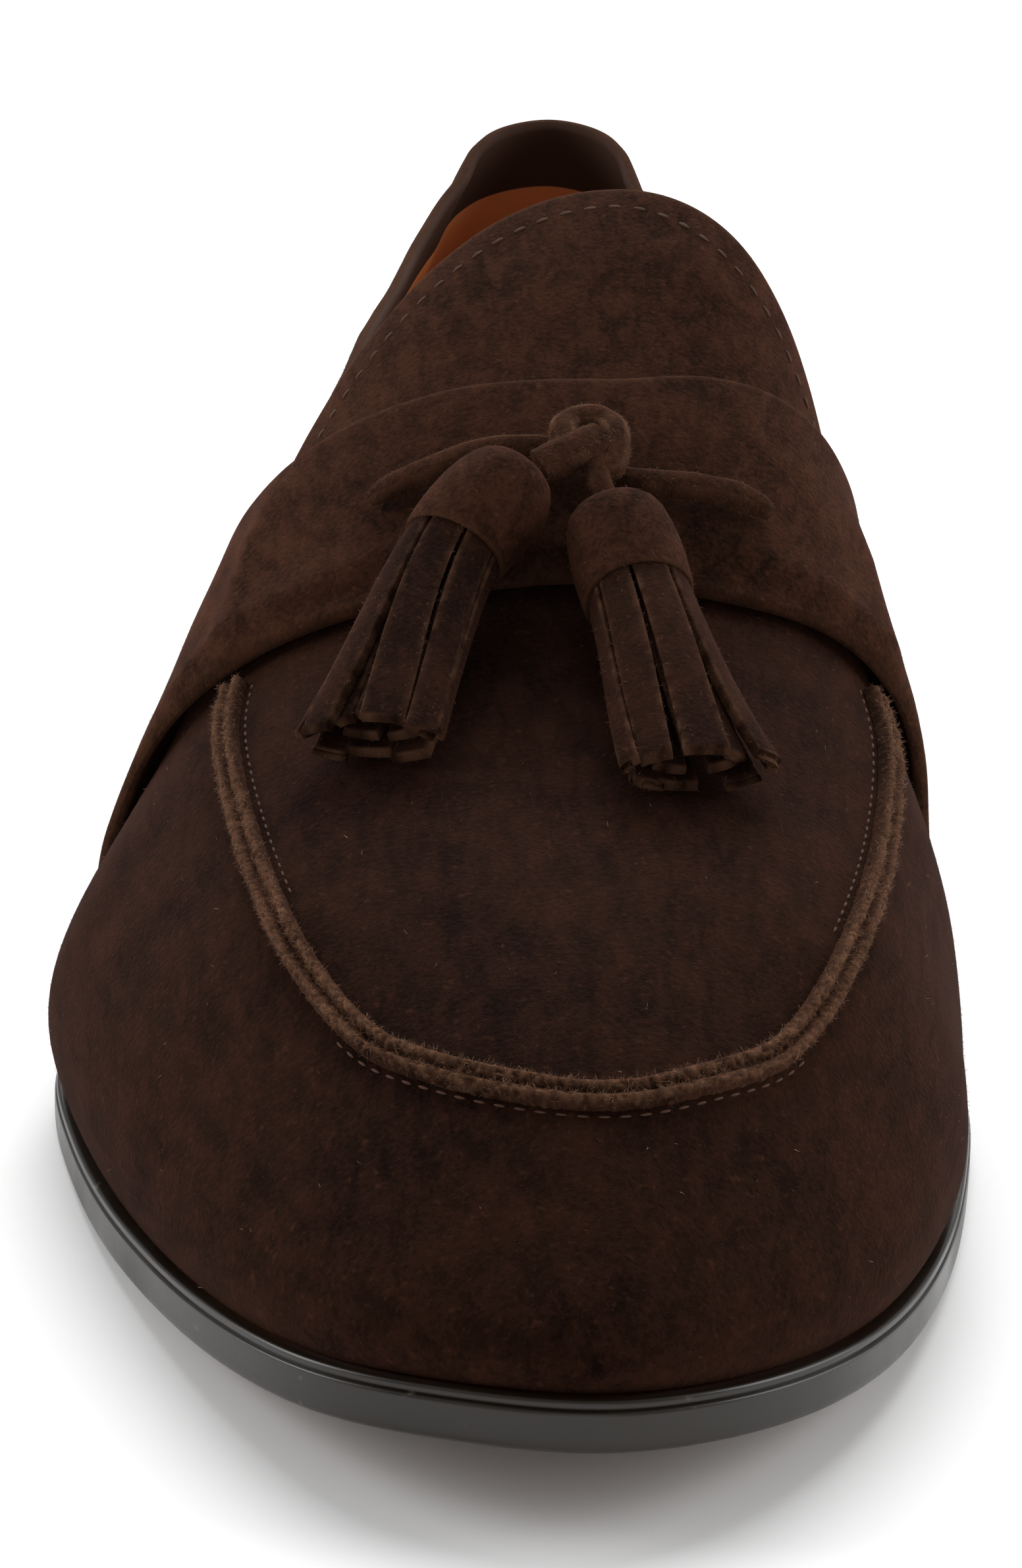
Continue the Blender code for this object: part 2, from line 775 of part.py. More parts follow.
def make_saddle():
    """The strap across the instep, from the sole's lateral edge to its medial edge."""
    across = np.linspace(-1, 1, SADDLE_WAYS + 1)
    front = through(SADDLE["across"], SADDLE["front"])(across)
    rear = through(SADDLE["across"], SADDLE["rear"])(across)
    out = np.linspace(0, 1, SADDLE_STEPS + 1)[:, None]
    along = SOLE_LENGTH * (front[None, :] + (rear - front)[None, :] * out)
    climb = 1 - np.abs(across) * SADDLE_REACH
    points = last_points(np.where(across < 0, -1, 1)[None, :], along, climb[None, :])
    lift = saddle_lift(along, np.broadcast_to(across, along.shape)).reshape(-1)
    faces = grid_faces(SADDLE_STEPS + 1, SADDLE_WAYS + 1)
    return sheet_solid("saddle", points.reshape(-1, 3), faces, lift, lift + SADDLE_THICKNESS, "suede")


def make_seam():
    """The raised seam: a double ridge that follows the apron's edge from saddle to saddle."""
    places = stations(0.0, SEAM_END * SOLE_LENGTH, SEAM_STATIONS)
    runs = []
    for side, name in ((-1, "lateral"), (1, "medial")):
        reach = through(SEAM["along"], SEAM[name])(places / SOLE_LENGTH)
        climb = climb_at_reach(side, places, reach)
        runs.append((np.full(len(places), side), places, climb))
    side, along, climb = [np.concatenate([a[::-1], b[1:]]) for a, b in zip(*runs)]
    centre = last_points(side, along, climb)
    lower = last_points(side, along, climb - CLIMB_STEP)
    ahead = np.gradient(centre, axis=0)
    ahead /= np.linalg.norm(ahead, axis=1)[:, None]
    down = lower - centre
    down -= (down * ahead).sum(axis=1)[:, None] * ahead
    down /= np.linalg.norm(down, axis=1)[:, None]
    up = np.cross(down, ahead)
    up *= np.sign(up[:, 2:3])
    rings = []
    for width, height in zip(SEAM_PROFILE["width"], SEAM_PROFILE["height"]):
        rings.append(centre + down * width * SEAM_WIDTH + up * (GAP + height * SEAM_HEIGHT))
    points = np.stack(rings, axis=1)
    return swept_solid("apron_seam", points, "suede_edge")


def over_last(along, across, lift):
    """Points that far off the last, each with the last's outward direction there."""
    side = np.where(across < 0, -1, 1)

    def place(share, turn):
        return last_points(side, share * SOLE_LENGTH, 1 - np.abs(turn))

    ahead = place(along + SMALL_STEP, across) - place(along - SMALL_STEP, across)
    level = place(along, across + side * SMALL_STEP) - place(along, across)
    outward = np.cross(ahead, level * side[:, None])
    outward *= np.sign(outward[:, 2:3]) / np.linalg.norm(outward, axis=1)[:, None]
    return place(along, across) + outward * lift[:, None], outward


def smooth_line(table, count, height):
    """Evenly numbered points on the smooth line through a table's rows, and outward directions."""
    rows = len(table["along"])
    knots, outward = over_last(table["along"], table["across"], height)
    at = np.linspace(0, rows - 1, count)
    line = np.column_stack([through(np.arange(rows), knots[:, k])(at) for k in range(3)])
    upward = np.column_stack([through(np.arange(rows), outward[:, k])(at) for k in range(3)])
    return line, upward


def directions(line, upward):
    """Unit directions ahead, across and up along a line."""
    ahead = np.gradient(line, axis=0)
    ahead /= np.linalg.norm(ahead, axis=1)[:, None]
    across = np.cross(ahead, upward)
    across /= np.linalg.norm(across, axis=1)[:, None]
    return ahead, across, np.cross(across, ahead)


def tube(name, line, upward, width, height, material_name):
    """A solid cord of oval section along a line: width and height are full sizes at each point."""
    _, across, up = directions(line, upward)
    turn = np.arange(CORD_SIDES) * 2 * math.pi / CORD_SIDES
    wide = 0.5 * np.broadcast_to(width, len(line))[:, None, None] * across[:, None, :]
    high = 0.5 * np.broadcast_to(height, len(line))[:, None, None] * up[:, None, :]
    rings = line[:, None, :] + wide * np.cos(turn)[None, :, None] + high * np.sin(turn)[None, :, None]
    return swept_solid(name, rings, material_name)


def joined(name, pieces):
    """The pieces made one solid, under that name."""
    whole = pieces[0]
    for piece in pieces[1:]:
        union = whole.modifiers.new("union", "BOOLEAN")
        union.operation = "UNION"
        union.solver = "EXACT"
        union.use_self = True
        union.object = piece
    graph = bpy.context.evaluated_depsgraph_get()
    mesh = bpy.data.meshes.new_from_object(whole.evaluated_get(graph))
    whole.modifiers.clear()
    whole.data = mesh
    for piece in pieces[1:]:
        bpy.data.objects.remove(piece, do_unlink=True)
    whole.name = mesh.name = name
    return whole


def make_lace():
    height = STACK + GAP + (LACE["lift"] + 0.5 * LACE["girth"]) * LACE_HEIGHT
    line, upward = smooth_line(LACE, LACE_POINTS, height)
    rows = np.arange(len(LACE["girth"]))
    girth = through(rows, LACE["girth"])(np.linspace(0, rows[-1], LACE_POINTS))
    return tube("lace", line, upward, girth * LACE_WIDTH, girth * LACE_HEIGHT, "suede")


def make_knot():
    """The loop and the two stems that the tassels hang from, joined where they cross."""
    pieces = []
    for name, table, count, wide in (
        ("knot", LOOP, LOOP_POINTS, 1.0),
        ("left_stem", LEFT_STEM, STEM_POINTS, LEFT_STEM_WIDE),
        ("right_stem", RIGHT_STEM, STEM_POINTS, RIGHT_STEM_WIDE),
    ):
        line, upward = smooth_line(table, count, STACK + table["lift"] * STEM_WIDTH)
        pieces.append(tube(name, line, upward, wide * STEM_WIDTH, STEM_HIGH * STEM_WIDTH, "suede_edge"))
    return joined("knot", pieces)


def make_tassel(name, middle):
    """A leather cap with a fringe of strips, fused on a core, that flares to its end."""
    line, upward = smooth_line(middle, TASSEL_POINTS, middle["lift"] * CAP_WIDTH)
    run = np.concatenate([[0], np.cumsum(np.linalg.norm(np.diff(line, axis=0), axis=1))])
    _, across, up = directions(line, upward)
    turn = np.stack([STRIPS["turn"] - STRIPS["half"], STRIPS["turn"] + STRIPS["half"]], axis=1)
    turn = np.repeat(turn.reshape(-1), 2) * 2 * math.pi
    end = np.repeat(STRIPS["end"], 4)
    deep = np.tile([1, 0, 0, 1], len(STRIPS["turn"]))
    rings = []
    for share, wide, high, slot in zip(*[TASSEL[key] for key in ("run", "wide", "high", "slot")]):
        fringe = FRINGE_TOP + (share - FRINGE_TOP) * end
        reach = np.where(share > FRINGE_TOP, fringe, share) * TASSEL_LENGTH
        off = 0.5 * CAP_WIDTH * np.array([[wide, high]]) - deep[:, None] * slot * STRIP_THICKNESS
        at = np.column_stack([np.interp(reach, run, line[:, k]) for k in range(3)])
        flat = np.column_stack([np.interp(reach, run, across[:, k]) for k in range(3)])
        rise = np.column_stack([np.interp(reach, run, up[:, k]) for k in range(3)])
        level = flat * (off[:, 0] * np.cos(turn))[:, None]
        rings.append(at + level + rise * (off[:, 1] * np.sin(turn))[:, None])
    return swept_solid(name, np.stack(rings), "suede")


def swept_solid(name, rings, material_name, sharp=50):
    """A closed solid through rows of points, each row one closed section, with flat ends."""
    count, ring = rings.shape[:2]
    faces = []
    for j in range(count - 1):
        for i in range(ring):
            after = (i + 1) % ring
            faces.append((j * ring + i, j * ring + after, (j + 1) * ring + after, (j + 1) * ring + i))
    faces.append(tuple(range(ring)))
    faces.append(tuple((count - 1) * ring + i for i in reversed(range(ring))))
    return solid(name, rings.reshape(-1, 3), faces, material_name, sharp)


def main():
    clear_scene()
    make_outsole()
    make_heel()
    make_insole()
    make_upper()
    make_tongue()
    make_saddle()
    make_seam()
    make_lace()
    make_knot()
    make_tassel("tassel_left", LEFT_TASSEL)
    make_tassel("tassel_right", RIGHT_TASSEL)


main()
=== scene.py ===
import math

import bmesh
import bpy
import numpy as np
from mathutils import Matrix, Vector, noise


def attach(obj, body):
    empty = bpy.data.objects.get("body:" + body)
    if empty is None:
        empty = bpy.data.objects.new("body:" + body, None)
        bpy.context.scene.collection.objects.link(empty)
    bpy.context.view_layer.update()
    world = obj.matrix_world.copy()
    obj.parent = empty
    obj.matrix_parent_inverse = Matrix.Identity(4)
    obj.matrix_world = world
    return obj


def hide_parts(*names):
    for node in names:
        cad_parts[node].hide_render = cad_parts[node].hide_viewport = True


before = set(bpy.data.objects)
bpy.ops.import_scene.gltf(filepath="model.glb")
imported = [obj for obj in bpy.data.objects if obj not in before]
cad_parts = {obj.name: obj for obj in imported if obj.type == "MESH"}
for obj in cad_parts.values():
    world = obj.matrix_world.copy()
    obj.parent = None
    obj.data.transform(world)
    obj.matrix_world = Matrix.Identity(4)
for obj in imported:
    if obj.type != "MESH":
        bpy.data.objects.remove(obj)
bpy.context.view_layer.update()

# The camera stands in front of the toe and a little above it, as in the photograph, and is rolled by less
# than two degrees. Its lens gives the picture's perspective at 1552 by 2380 pixels.
CAMERA_PLACE = (-0.00365, -0.4463, 0.1706)
CAMERA_AZIMUTH, CAMERA_ELEVATION, CAMERA_ROLL = math.radians(0.39), math.radians(18.23), math.radians(1.64)
PICTURE_HEIGHT, FOCAL_PIXELS, SENSOR = 2380, 5604, 36.0

lens = bpy.data.cameras.new("camera")
lens.sensor_fit = "VERTICAL"
lens.sensor_height = SENSOR
lens.lens = SENSOR * FOCAL_PIXELS / PICTURE_HEIGHT
lens.clip_start, lens.clip_end = 0.01, 20
camera = bpy.data.objects.new("camera", lens)
bpy.context.scene.collection.objects.link(camera)
ahead = np.array([
    math.sin(CAMERA_AZIMUTH) * math.cos(CAMERA_ELEVATION),
    math.cos(CAMERA_AZIMUTH) * math.cos(CAMERA_ELEVATION),
    -math.sin(CAMERA_ELEVATION),
])
level = np.array([math.cos(CAMERA_AZIMUTH), -math.sin(CAMERA_AZIMUTH), 0.0])
upright = np.cross(level, ahead)
right = math.cos(CAMERA_ROLL) * level + math.sin(CAMERA_ROLL) * upright
above = -math.sin(CAMERA_ROLL) * level + math.cos(CAMERA_ROLL) * upright
turn = Matrix(np.column_stack([right, above, -ahead]).tolist()).to_4x4()
camera.matrix_world = Matrix.Translation(CAMERA_PLACE) @ turn
bpy.context.scene.camera = camera

# The outsole is cut from sole leather about 5.5 mm thick, shaped to the last, then its edge is trimmed,
# stained and burnished. A fine wheel line near its top edge parts off a narrow welt.
SOLE_LENGTH, BALL_WIDTH, SOLE_THICKNESS = 0.298, 0.104, 0.0055
TOE_SPRING, HEEL_HEIGHT = 0.009, 0.020
TOE_TIP, HEEL_TIP, GAP = 0.055, 0.010, 0.0003
OUTLINE_POINTS, CURVE_STEPS, SOLE_COUNT = 2400, 60, 300


def columns(names, rows):
    """A table as one array for each of its named columns."""
    return dict(zip(names, np.array(rows, float).T))


SOLE_OUTLINE = columns(
    ("along", "lateral", "medial"),
    [
        (0.007, -0.070, 0.116),
        (0.027, -0.183, 0.198),
        (0.067, -0.281, 0.292),
        (0.134, -0.380, 0.378),
        (0.201, -0.454, 0.429),
        (0.268, -0.508, 0.462),
        (0.325, -0.535, 0.474),
        (0.400, -0.502, 0.434),
        (0.480, -0.440, 0.388),
        (0.570, -0.392, 0.332),
        (0.660, -0.368, 0.289),
        (0.750, -0.343, 0.283),
        (0.840, -0.329, 0.298),
        (0.915, -0.298, 0.282),
        (0.965, -0.212, 0.207),
        (0.992, -0.101, 0.101),
    ],
)
SOLE_LIFT = columns(
    ("along", "toe", "heel"),
    [
        (0.000, 1.00, 0.00),
        (0.050, 0.70, 0.00),
        (0.100, 0.46, 0.00),
        (0.150, 0.27, 0.00),
        (0.200, 0.125, 0.00),
        (0.250, 0.03, 0.00),
        (0.285, 0.00, 0.00),
        (0.385, 0.00, 0.00),
        (0.440, 0.00, 0.05),
        (0.520, 0.00, 0.24),
        (0.600, 0.00, 0.50),
        (0.680, 0.00, 0.75),
        (0.755, 0.00, 0.93),
        (0.830, 0.00, 1.00),
        (1.000, 0.00, 1.00),
    ],
)
# The edge from the underside up: height is a share of the thickness, inset is in millimetres.
SOLE_EDGE = columns(
    ("height", "inset"),
    [
        (0.000, 1.30), (0.010, 0.72), (0.040, 0.40), (0.085, 0.17), (0.150, 0.04), (0.250, 0.00),
        (0.500, -0.02), (0.700, 0.00), (0.765, 0.03), (0.785, 0.13), (0.800, 0.34), (0.812, 0.42),
        (0.826, 0.36), (0.845, 0.24), (0.890, 0.20), (0.940, 0.22), (0.975, 0.32), (0.995, 0.50),
        (1.000, 0.80), (1.000, 2.50),
    ],
)


def bent(t, rise, leave, arrive):
    """The way from 0 to rise as t goes from 0 to 1, with given slopes where it leaves and arrives."""
    return t * leave + t**2 * (3 * rise - 2 * leave - arrive) + t**3 * (leave + arrive - 2 * rise)


def through(places, values):
    """A smooth function through a table's rows that never overshoots them."""
    places, values = np.asarray(places, float), np.asarray(values, float)
    steps = np.diff(places)
    slopes = np.diff(values) / steps
    tangents = np.concatenate([slopes[:1], np.zeros(len(slopes) - 1), slopes[-1:]])
    for i in range(1, len(slopes)):
        before, after = slopes[i - 1], slopes[i]
        if before * after > 0:
            first, second = 2 * steps[i] + steps[i - 1], steps[i] + 2 * steps[i - 1]
            tangents[i] = (first + second) / (first / before + second / after)

    def value(at):
        at = np.clip(at, places[0], places[-1])
        i = np.clip(np.searchsorted(places, at, side="right") - 1, 0, len(steps) - 1)
        t = (at - places[i]) / steps[i]
        rise = values[i + 1] - values[i]
        return values[i] + bent(t, rise, steps[i] * tangents[i], steps[i] * tangents[i + 1])

    return value


def run_along(points):
    """The way along a line from its first point to each of its points."""
    return np.concatenate([[0], np.cumsum(np.linalg.norm(np.diff(points, axis=0), axis=1))])


def points_at(places, run, points):
    """The points of a line at those places of its run."""
    return np.stack([np.interp(places, run, points[:, k]) for k in range(points.shape[1])], axis=-1)


def unit(vectors):
    """The same directions, each one long."""
    return vectors / np.linalg.norm(vectors, axis=-1, keepdims=True)


def closed_curve(points, count):
    """Evenly spaced points on the smooth closed curve through the given ones."""
    n = len(points)
    gaps = np.linalg.norm(np.roll(points, -1, axis=0) - points, axis=1)
    matrix, wanted = np.zeros((n, n)), np.zeros((n, 2))
    for i in range(n):
        before, after = gaps[i - 1], gaps[i]
        matrix[i, i - 1] += after
        matrix[i, i] += 2 * (before + after)
        matrix[i, (i + 1) % n] += before
        forward = (points[(i + 1) % n] - points[i]) / after
        behind = (points[i] - points[i - 1]) / before
        wanted[i] = 3 * (after * behind + before * forward)
    tangents = np.linalg.solve(matrix, wanted)
    t = np.linspace(0, 1, CURVE_STEPS, endpoint=False)[:, None]
    drawn = []
    for i in range(n):
        after = (i + 1) % n
        rise = points[after] - points[i]
        drawn.append(points[i] + bent(t, rise, gaps[i] * tangents[i], gaps[i] * tangents[after]))
    drawn = np.concatenate(drawn + [drawn[0][:1]])
    run = run_along(drawn)
    return points_at(np.linspace(0, run[-1], count, endpoint=False), run, drawn)


def outline_sides():
    """The sole's outline as (across, along, outward) for each side, from the toe's tip to the heel's."""
    along = SOLE_OUTLINE["along"] * SOLE_LENGTH
    lateral = np.column_stack([SOLE_OUTLINE["lateral"] * BALL_WIDTH, along])
    medial = np.column_stack([SOLE_OUTLINE["medial"] * BALL_WIDTH, along])
    ends = [[(TOE_TIP * BALL_WIDTH, 0.0)], [(HEEL_TIP * BALL_WIDTH, SOLE_LENGTH)]]
    curve = closed_curve(np.vstack([ends[0], medial, ends[1], lateral[::-1]]), OUTLINE_POINTS)
    forward = np.roll(curve, -1, axis=0) - np.roll(curve, 1, axis=0)
    outward = unit(np.column_stack([forward[:, 1], -forward[:, 0]]))
    start, end = curve[:, 1].argmin(), curve[:, 1].argmax()
    sides = {}
    for side in (1, -1):
        rows = (np.arange(0, (side * (end - start)) % len(curve) + 1) * side + start) % len(curve)
        points = curve[rows].copy()
        points[:, 1] = np.maximum.accumulate(points[:, 1])
        points[:, 1] = (points[:, 1] - points[0, 1]) * SOLE_LENGTH / (points[-1, 1] - points[0, 1])
        sides[side] = (points[:, 0], points[:, 1], outward[rows])
    return sides


OUTLINE = outline_sides()
CENTRE = np.array([0.5 * (OUTLINE[-1][0].min() + OUTLINE[1][0].max()), 0.5 * SOLE_LENGTH, 0.0])
toe_lift = through(SOLE_LIFT["along"], SOLE_LIFT["toe"])
heel_lift = through(SOLE_LIFT["along"], SOLE_LIFT["heel"])


def underside(along):
    """The height of the sole's underside: raised by the toe spring in front and by the heel behind."""
    share = along / SOLE_LENGTH
    return TOE_SPRING * toe_lift(share) + HEEL_HEIGHT * heel_lift(share)


def sole_top(along):
    """The height of the sole's upper face."""
    return underside(along) + SOLE_THICKNESS


def edge_point(side, along, inset):
    """A point of the outline on that side, set in from the sole's edge: (across, along)."""
    across, places, outward = OUTLINE[side]
    out_x = np.interp(along, places, outward[:, 0])
    out_y = np.interp(along, places, outward[:, 1])
    size = np.hypot(out_x, out_y)
    return np.interp(along, places, across) - inset * out_x / size, along - inset * out_y / size


def stations(first, last, count):
    """Places along the shoe, evenly spaced by the way round its outline."""
    across, places, _ = OUTLINE[-1]
    run = run_along(np.column_stack([across, places]))
    made = np.interp(np.linspace(*np.interp([first, last], places, run), count + 1), run, places)
    made[0], made[-1] = first, last
    return made


def outline_rings(along, rows, height):
    """A ring round the outline for each share and inset, with one row of points a side. Its heights come
    from a function of the place along the shoe and the share."""
    rings = []
    for share, inset in rows:
        sides = []
        for side in (-1, 1):
            x, y = edge_point(side, along, inset)
            sides.append(np.column_stack([x, y, height(y, share)]))
        for end, place in ((0, 0.0), (-1, SOLE_LENGTH)):
            if along[end] == place:
                sides[0][end] = sides[1][end] = 0.5 * (sides[0][end] + sides[1][end])
        rings.append(sides)
    return rings


def mesh_piece(name, points, faces, materials, replaced=(), face_materials=None, marks=None, sharp=60):
    """One closed piece from points in the shoe's own places. Marks are values kept on its points."""
    points, faces = np.asarray(points, float), np.asarray(faces, int)
    mesh = bpy.data.meshes.new(name)
    body = bmesh.new()
    layers = {key: body.verts.layers.float.new(key) for key in (marks or {})}
    corners = [body.verts.new(p) for p in points - CENTRE]
    for key, values in (marks or {}).items():
        for corner, value in zip(corners, np.asarray(values, float)):
            corner[layers[key]] = value
    for k, face in enumerate(faces):
        ring = list(dict.fromkeys(face.tolist()))
        if len(ring) > 2:
            made = body.faces.new([corners[i] for i in ring])
            made.smooth = True
            if face_materials is not None:
                made.material_index = int(face_materials[k])
    bmesh.ops.remove_doubles(body, verts=body.verts, dist=2e-6)
    bmesh.ops.recalc_face_normals(body, faces=body.faces)
    body.to_mesh(mesh)
    body.free()
    mesh.set_sharp_from_angle(angle=math.radians(sharp))
    for material in materials:
        mesh.materials.append(material)
    made = bpy.data.objects.new(name, mesh)
    bpy.context.scene.collection.objects.link(made)
    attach(made, "root")
    for node in replaced:
        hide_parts(node)
    return made


def layered_piece(name, rings, materials, replaced=(), face_material=lambda layer: 0, sharp=60):
    """A closed piece from rings, each with one row of points a side, and closed by its first and last."""
    points = np.concatenate([row for lateral, medial in rings for row in (lateral, medial[::-1])])
    rows = len(rings[0][0])
    ring = 2 * rows
    i = np.arange(ring)
    after = (i + 1) % ring
    faces, kinds = [], []
    for k in range(len(rings) - 1):
        low, high = k * ring, (k + 1) * ring
        faces.append(np.column_stack([low + i, low + after, high + after, high + i]))
        kinds += [face_material(k)] * ring
    i = np.arange(rows - 1)
    for base, layer in ((0, -1), ((len(rings) - 1) * ring, len(rings))):
        faces.append(np.column_stack([base + i, base + i + 1, base + ring - 2 - i, base + ring - 1 - i]))
        kinds += [face_material(layer)] * (rows - 1)
    return mesh_piece(name, points, np.concatenate(faces), materials, replaced, kinds, sharp=sharp)


def colour(code):
    """A linear colour with alpha from an sRGB hex code."""
    parts = [int(code[i : i + 2], 16) / 255 for i in (0, 2, 4)]
    return (*[c / 12.92 if c <= 0.04045 else ((c + 0.055) / 1.055) ** 2.4 for c in parts], 1.0)


def feed(tree, node, inputs):
    """Give a node's inputs their values and links."""
    for key, value in dict(inputs).items():
        if isinstance(value, bpy.types.NodeSocket):
            tree.links.new(value, node.inputs[key])
        else:
            node.inputs[key].default_value = value


def add(tree, kind, inputs=(), **settings):
    """A new node with its settings, values and links."""
    made = tree.nodes.new(kind)
    for key, value in settings.items():
        setattr(made, key, value)
    feed(tree, made, inputs)
    return made


def cloud(tree, place, scale, detail, **more):
    """Soft cloudy noise from 0 to 1."""
    inputs = {"Vector": place, "Scale": scale, "Detail": detail, **more}
    return add(tree, "ShaderNodeTexNoise", inputs).outputs["Fac"]


def ranged(tree, value, low, high, bottom=0.0, top=1.0):
    """A value stretched so that low becomes bottom and high becomes top, and held between them."""
    inputs = {"Value": value, "From Min": low, "From Max": high, "To Min": bottom, "To Max": top}
    return add(tree, "ShaderNodeMapRange", inputs).outputs[0]


def mixed(tree, factor, first, second):
    """The first colour turning into the second. Each is a hex code or comes from another node."""
    pair = [colour(code) if isinstance(code, str) else code for code in (first, second)]
    return add(tree, "ShaderNodeMix", {"Factor": factor, 6: pair[0], 7: pair[1]}, data_type="RGBA").outputs[2]


def new_material(name):
    """An empty material, its node tree, and the object's own coordinates."""
    made = bpy.data.materials.new(name)
    made.use_nodes = True
    return made, made.node_tree, add(made.node_tree, "ShaderNodeTexCoord").outputs["Object"]


def surfaced(made, values, height=None, strength=0.0, depth=0.0001):
    """The material with its shader's values, and a relief where a height is given."""
    tree = made.node_tree
    if height is not None:
        relief = {"Height": height, "Strength": strength, "Distance": depth}
        values = {**values, "Normal": add(tree, "ShaderNodeBump", relief).outputs[0]}
    feed(tree, tree.nodes["Principled BSDF"], values)
    return made


def burnished_leather():
    """Sole leather, cut, stained dark brown and waxed. The trimmed edge shines softly, with fine upright
    marks left by the trimming wheel and a few bright scuffs scattered over it."""
    made, tree, place = new_material("burnished_sole_leather")
    upright_place = add(tree, "ShaderNodeMapping", {"Vector": place, "Scale": (1, 1, 0.06)}).outputs[0]
    marks, wax = cloud(tree, upright_place, 900, 3), cloud(tree, place, 70, 5)
    scuffed = ranged(tree, cloud(tree, place, 380, 3), 0.70, 0.76, top=0.4)
    tint = mixed(tree, scuffed, mixed(tree, wax, "120e0a", "241c13"), "6b6155")
    rough = ranged(tree, wax, 0.3, 0.7, bottom=0.24, top=0.40)
    return surfaced(made, {"Base Color": tint, "Roughness": rough, "Specular IOR Level": 0.4}, marks, 0.10)


def sole_underside():
    """The tread side of the leather: buffed smooth, unpolished, with a fine grain."""
    made, tree, place = new_material("buffed_sole_leather")
    grain = cloud(tree, place, 500, 5)
    tint = mixed(tree, grain, "4a3527", "6b4e39")
    return surfaced(made, {"Base Color": tint, "Roughness": 0.6}, grain, 0.2)


edge_leather = burnished_leather()
tread_leather = sole_underside()
layered_piece(
    "outsole_leather",
    outline_rings(
        stations(0.0, SOLE_LENGTH, SOLE_COUNT),
        zip(SOLE_EDGE["height"], SOLE_EDGE["inset"] / 1000),
        lambda y, share: underside(y) + share * SOLE_THICKNESS,
    ),
    [edge_leather, tread_leather],
    ["outsole"],
    lambda layer: 1 if layer < 0 else 0,
    sharp=75,
)

# The heel is a stack of leather lifts under the seat, trimmed with the sole's edge and stained like it,
# on a thin rubber top piece. Fine lines show where the lifts meet.
HEEL_BREAST, HEEL_INSET, HEEL_TAPER, HEEL_COUNT = 0.755, 0.001, 0.0015, 110
LIFT_LINES = columns(("height", "cut"), [(0.290, 0.000192), (0.525, 0.00012), (0.760, 0.00012)])
TOP_PIECE_ROUND, SEAT_ROUND, LINE_SOFT, LINE_SHARP, TOP_PIECE_LAYERS = 0.0005, 0.0003, 0.02, 0.005, 4


def top_piece_rubber():
    """Moulded black rubber, matt and hard-wearing."""
    made, tree, place = new_material("moulded_rubber")
    grit = cloud(tree, place, 900, 2)
    return surfaced(made, {"Base Color": colour("1d1b1a"), "Roughness": 0.7}, grit, 0.15)


heel_cuts = [(0.0, TOP_PIECE_ROUND), (LINE_SOFT, 0.0)]
for middle, depth in zip(LIFT_LINES["height"], LIFT_LINES["cut"]):
    for away in (-LINE_SOFT, -LINE_SHARP, 0, LINE_SHARP, LINE_SOFT):
        heel_cuts.append((middle + away, 0.0 if away else depth))
heel_cuts += [(1.0 - LINE_SOFT, 0.0), (1.0, SEAT_ROUND)]
layered_piece(
    "heel_stack",
    outline_rings(
        stations(HEEL_BREAST * SOLE_LENGTH, SOLE_LENGTH, HEEL_COUNT),
        [(share, HEEL_INSET + HEEL_TAPER * (1 - share) + depth) for share, depth in heel_cuts],
        lambda y, share: share * (underside(y) - GAP),
    ),
    [edge_leather, top_piece_rubber()],
    ["heel"],
    lambda layer: 1 if layer < TOP_PIECE_LAYERS else 0,
    sharp=40,
)

# The insole is a sock of smooth tan calf over the footbed, a little dished under the foot. It is cut to
# the inside of the upper and glued down.
UPPER_INSET, UPPER_WALL, INSOLE_THICKNESS, INSOLE_COUNT = 0.0035, 0.002, 0.003, 160
LINING_TAN = ("bd7040", "d68a56")
INSOLE_EDGE = columns(
    ("height", "inset"),
    [(0.00, 0.0), (0.75, 0.0), (0.93, 0.3), (1.00, 1.0), (0.96, 6.0), (0.88, 16.0)],
)


def calf_tone(tree, place, low, high):
    """The slow changes of tone in vegetable-tanned calf."""
    return mixed(tree, cloud(tree, place, 40, 3), low, high)


def smooth_calf(name, low, high):
    """Vegetable-tanned calf, plated smooth: a soft gloss and a fine pebble."""
    made, tree, place = new_material(name)
    pebble = add(tree, "ShaderNodeTexVoronoi", {"Vector": place, "Scale": 1600}).outputs["Distance"]
    return surfaced(made, {"Base Color": calf_tone(tree, place, low, high), "Roughness": 0.5}, pebble, 0.15)


tan_lining = smooth_calf("tan_calf_lining", *LINING_TAN)
layered_piece(
    "insole_sock",
    outline_rings(
        stations(0.0, SOLE_LENGTH, INSOLE_COUNT),
        zip(INSOLE_EDGE["height"], UPPER_INSET + UPPER_WALL + 2 * GAP + INSOLE_EDGE["inset"] / 1000),
        lambda y, share: sole_top(y) + GAP + share * INSOLE_THICKNESS,
    ),
    [tan_lining],
    ["insole"],
)

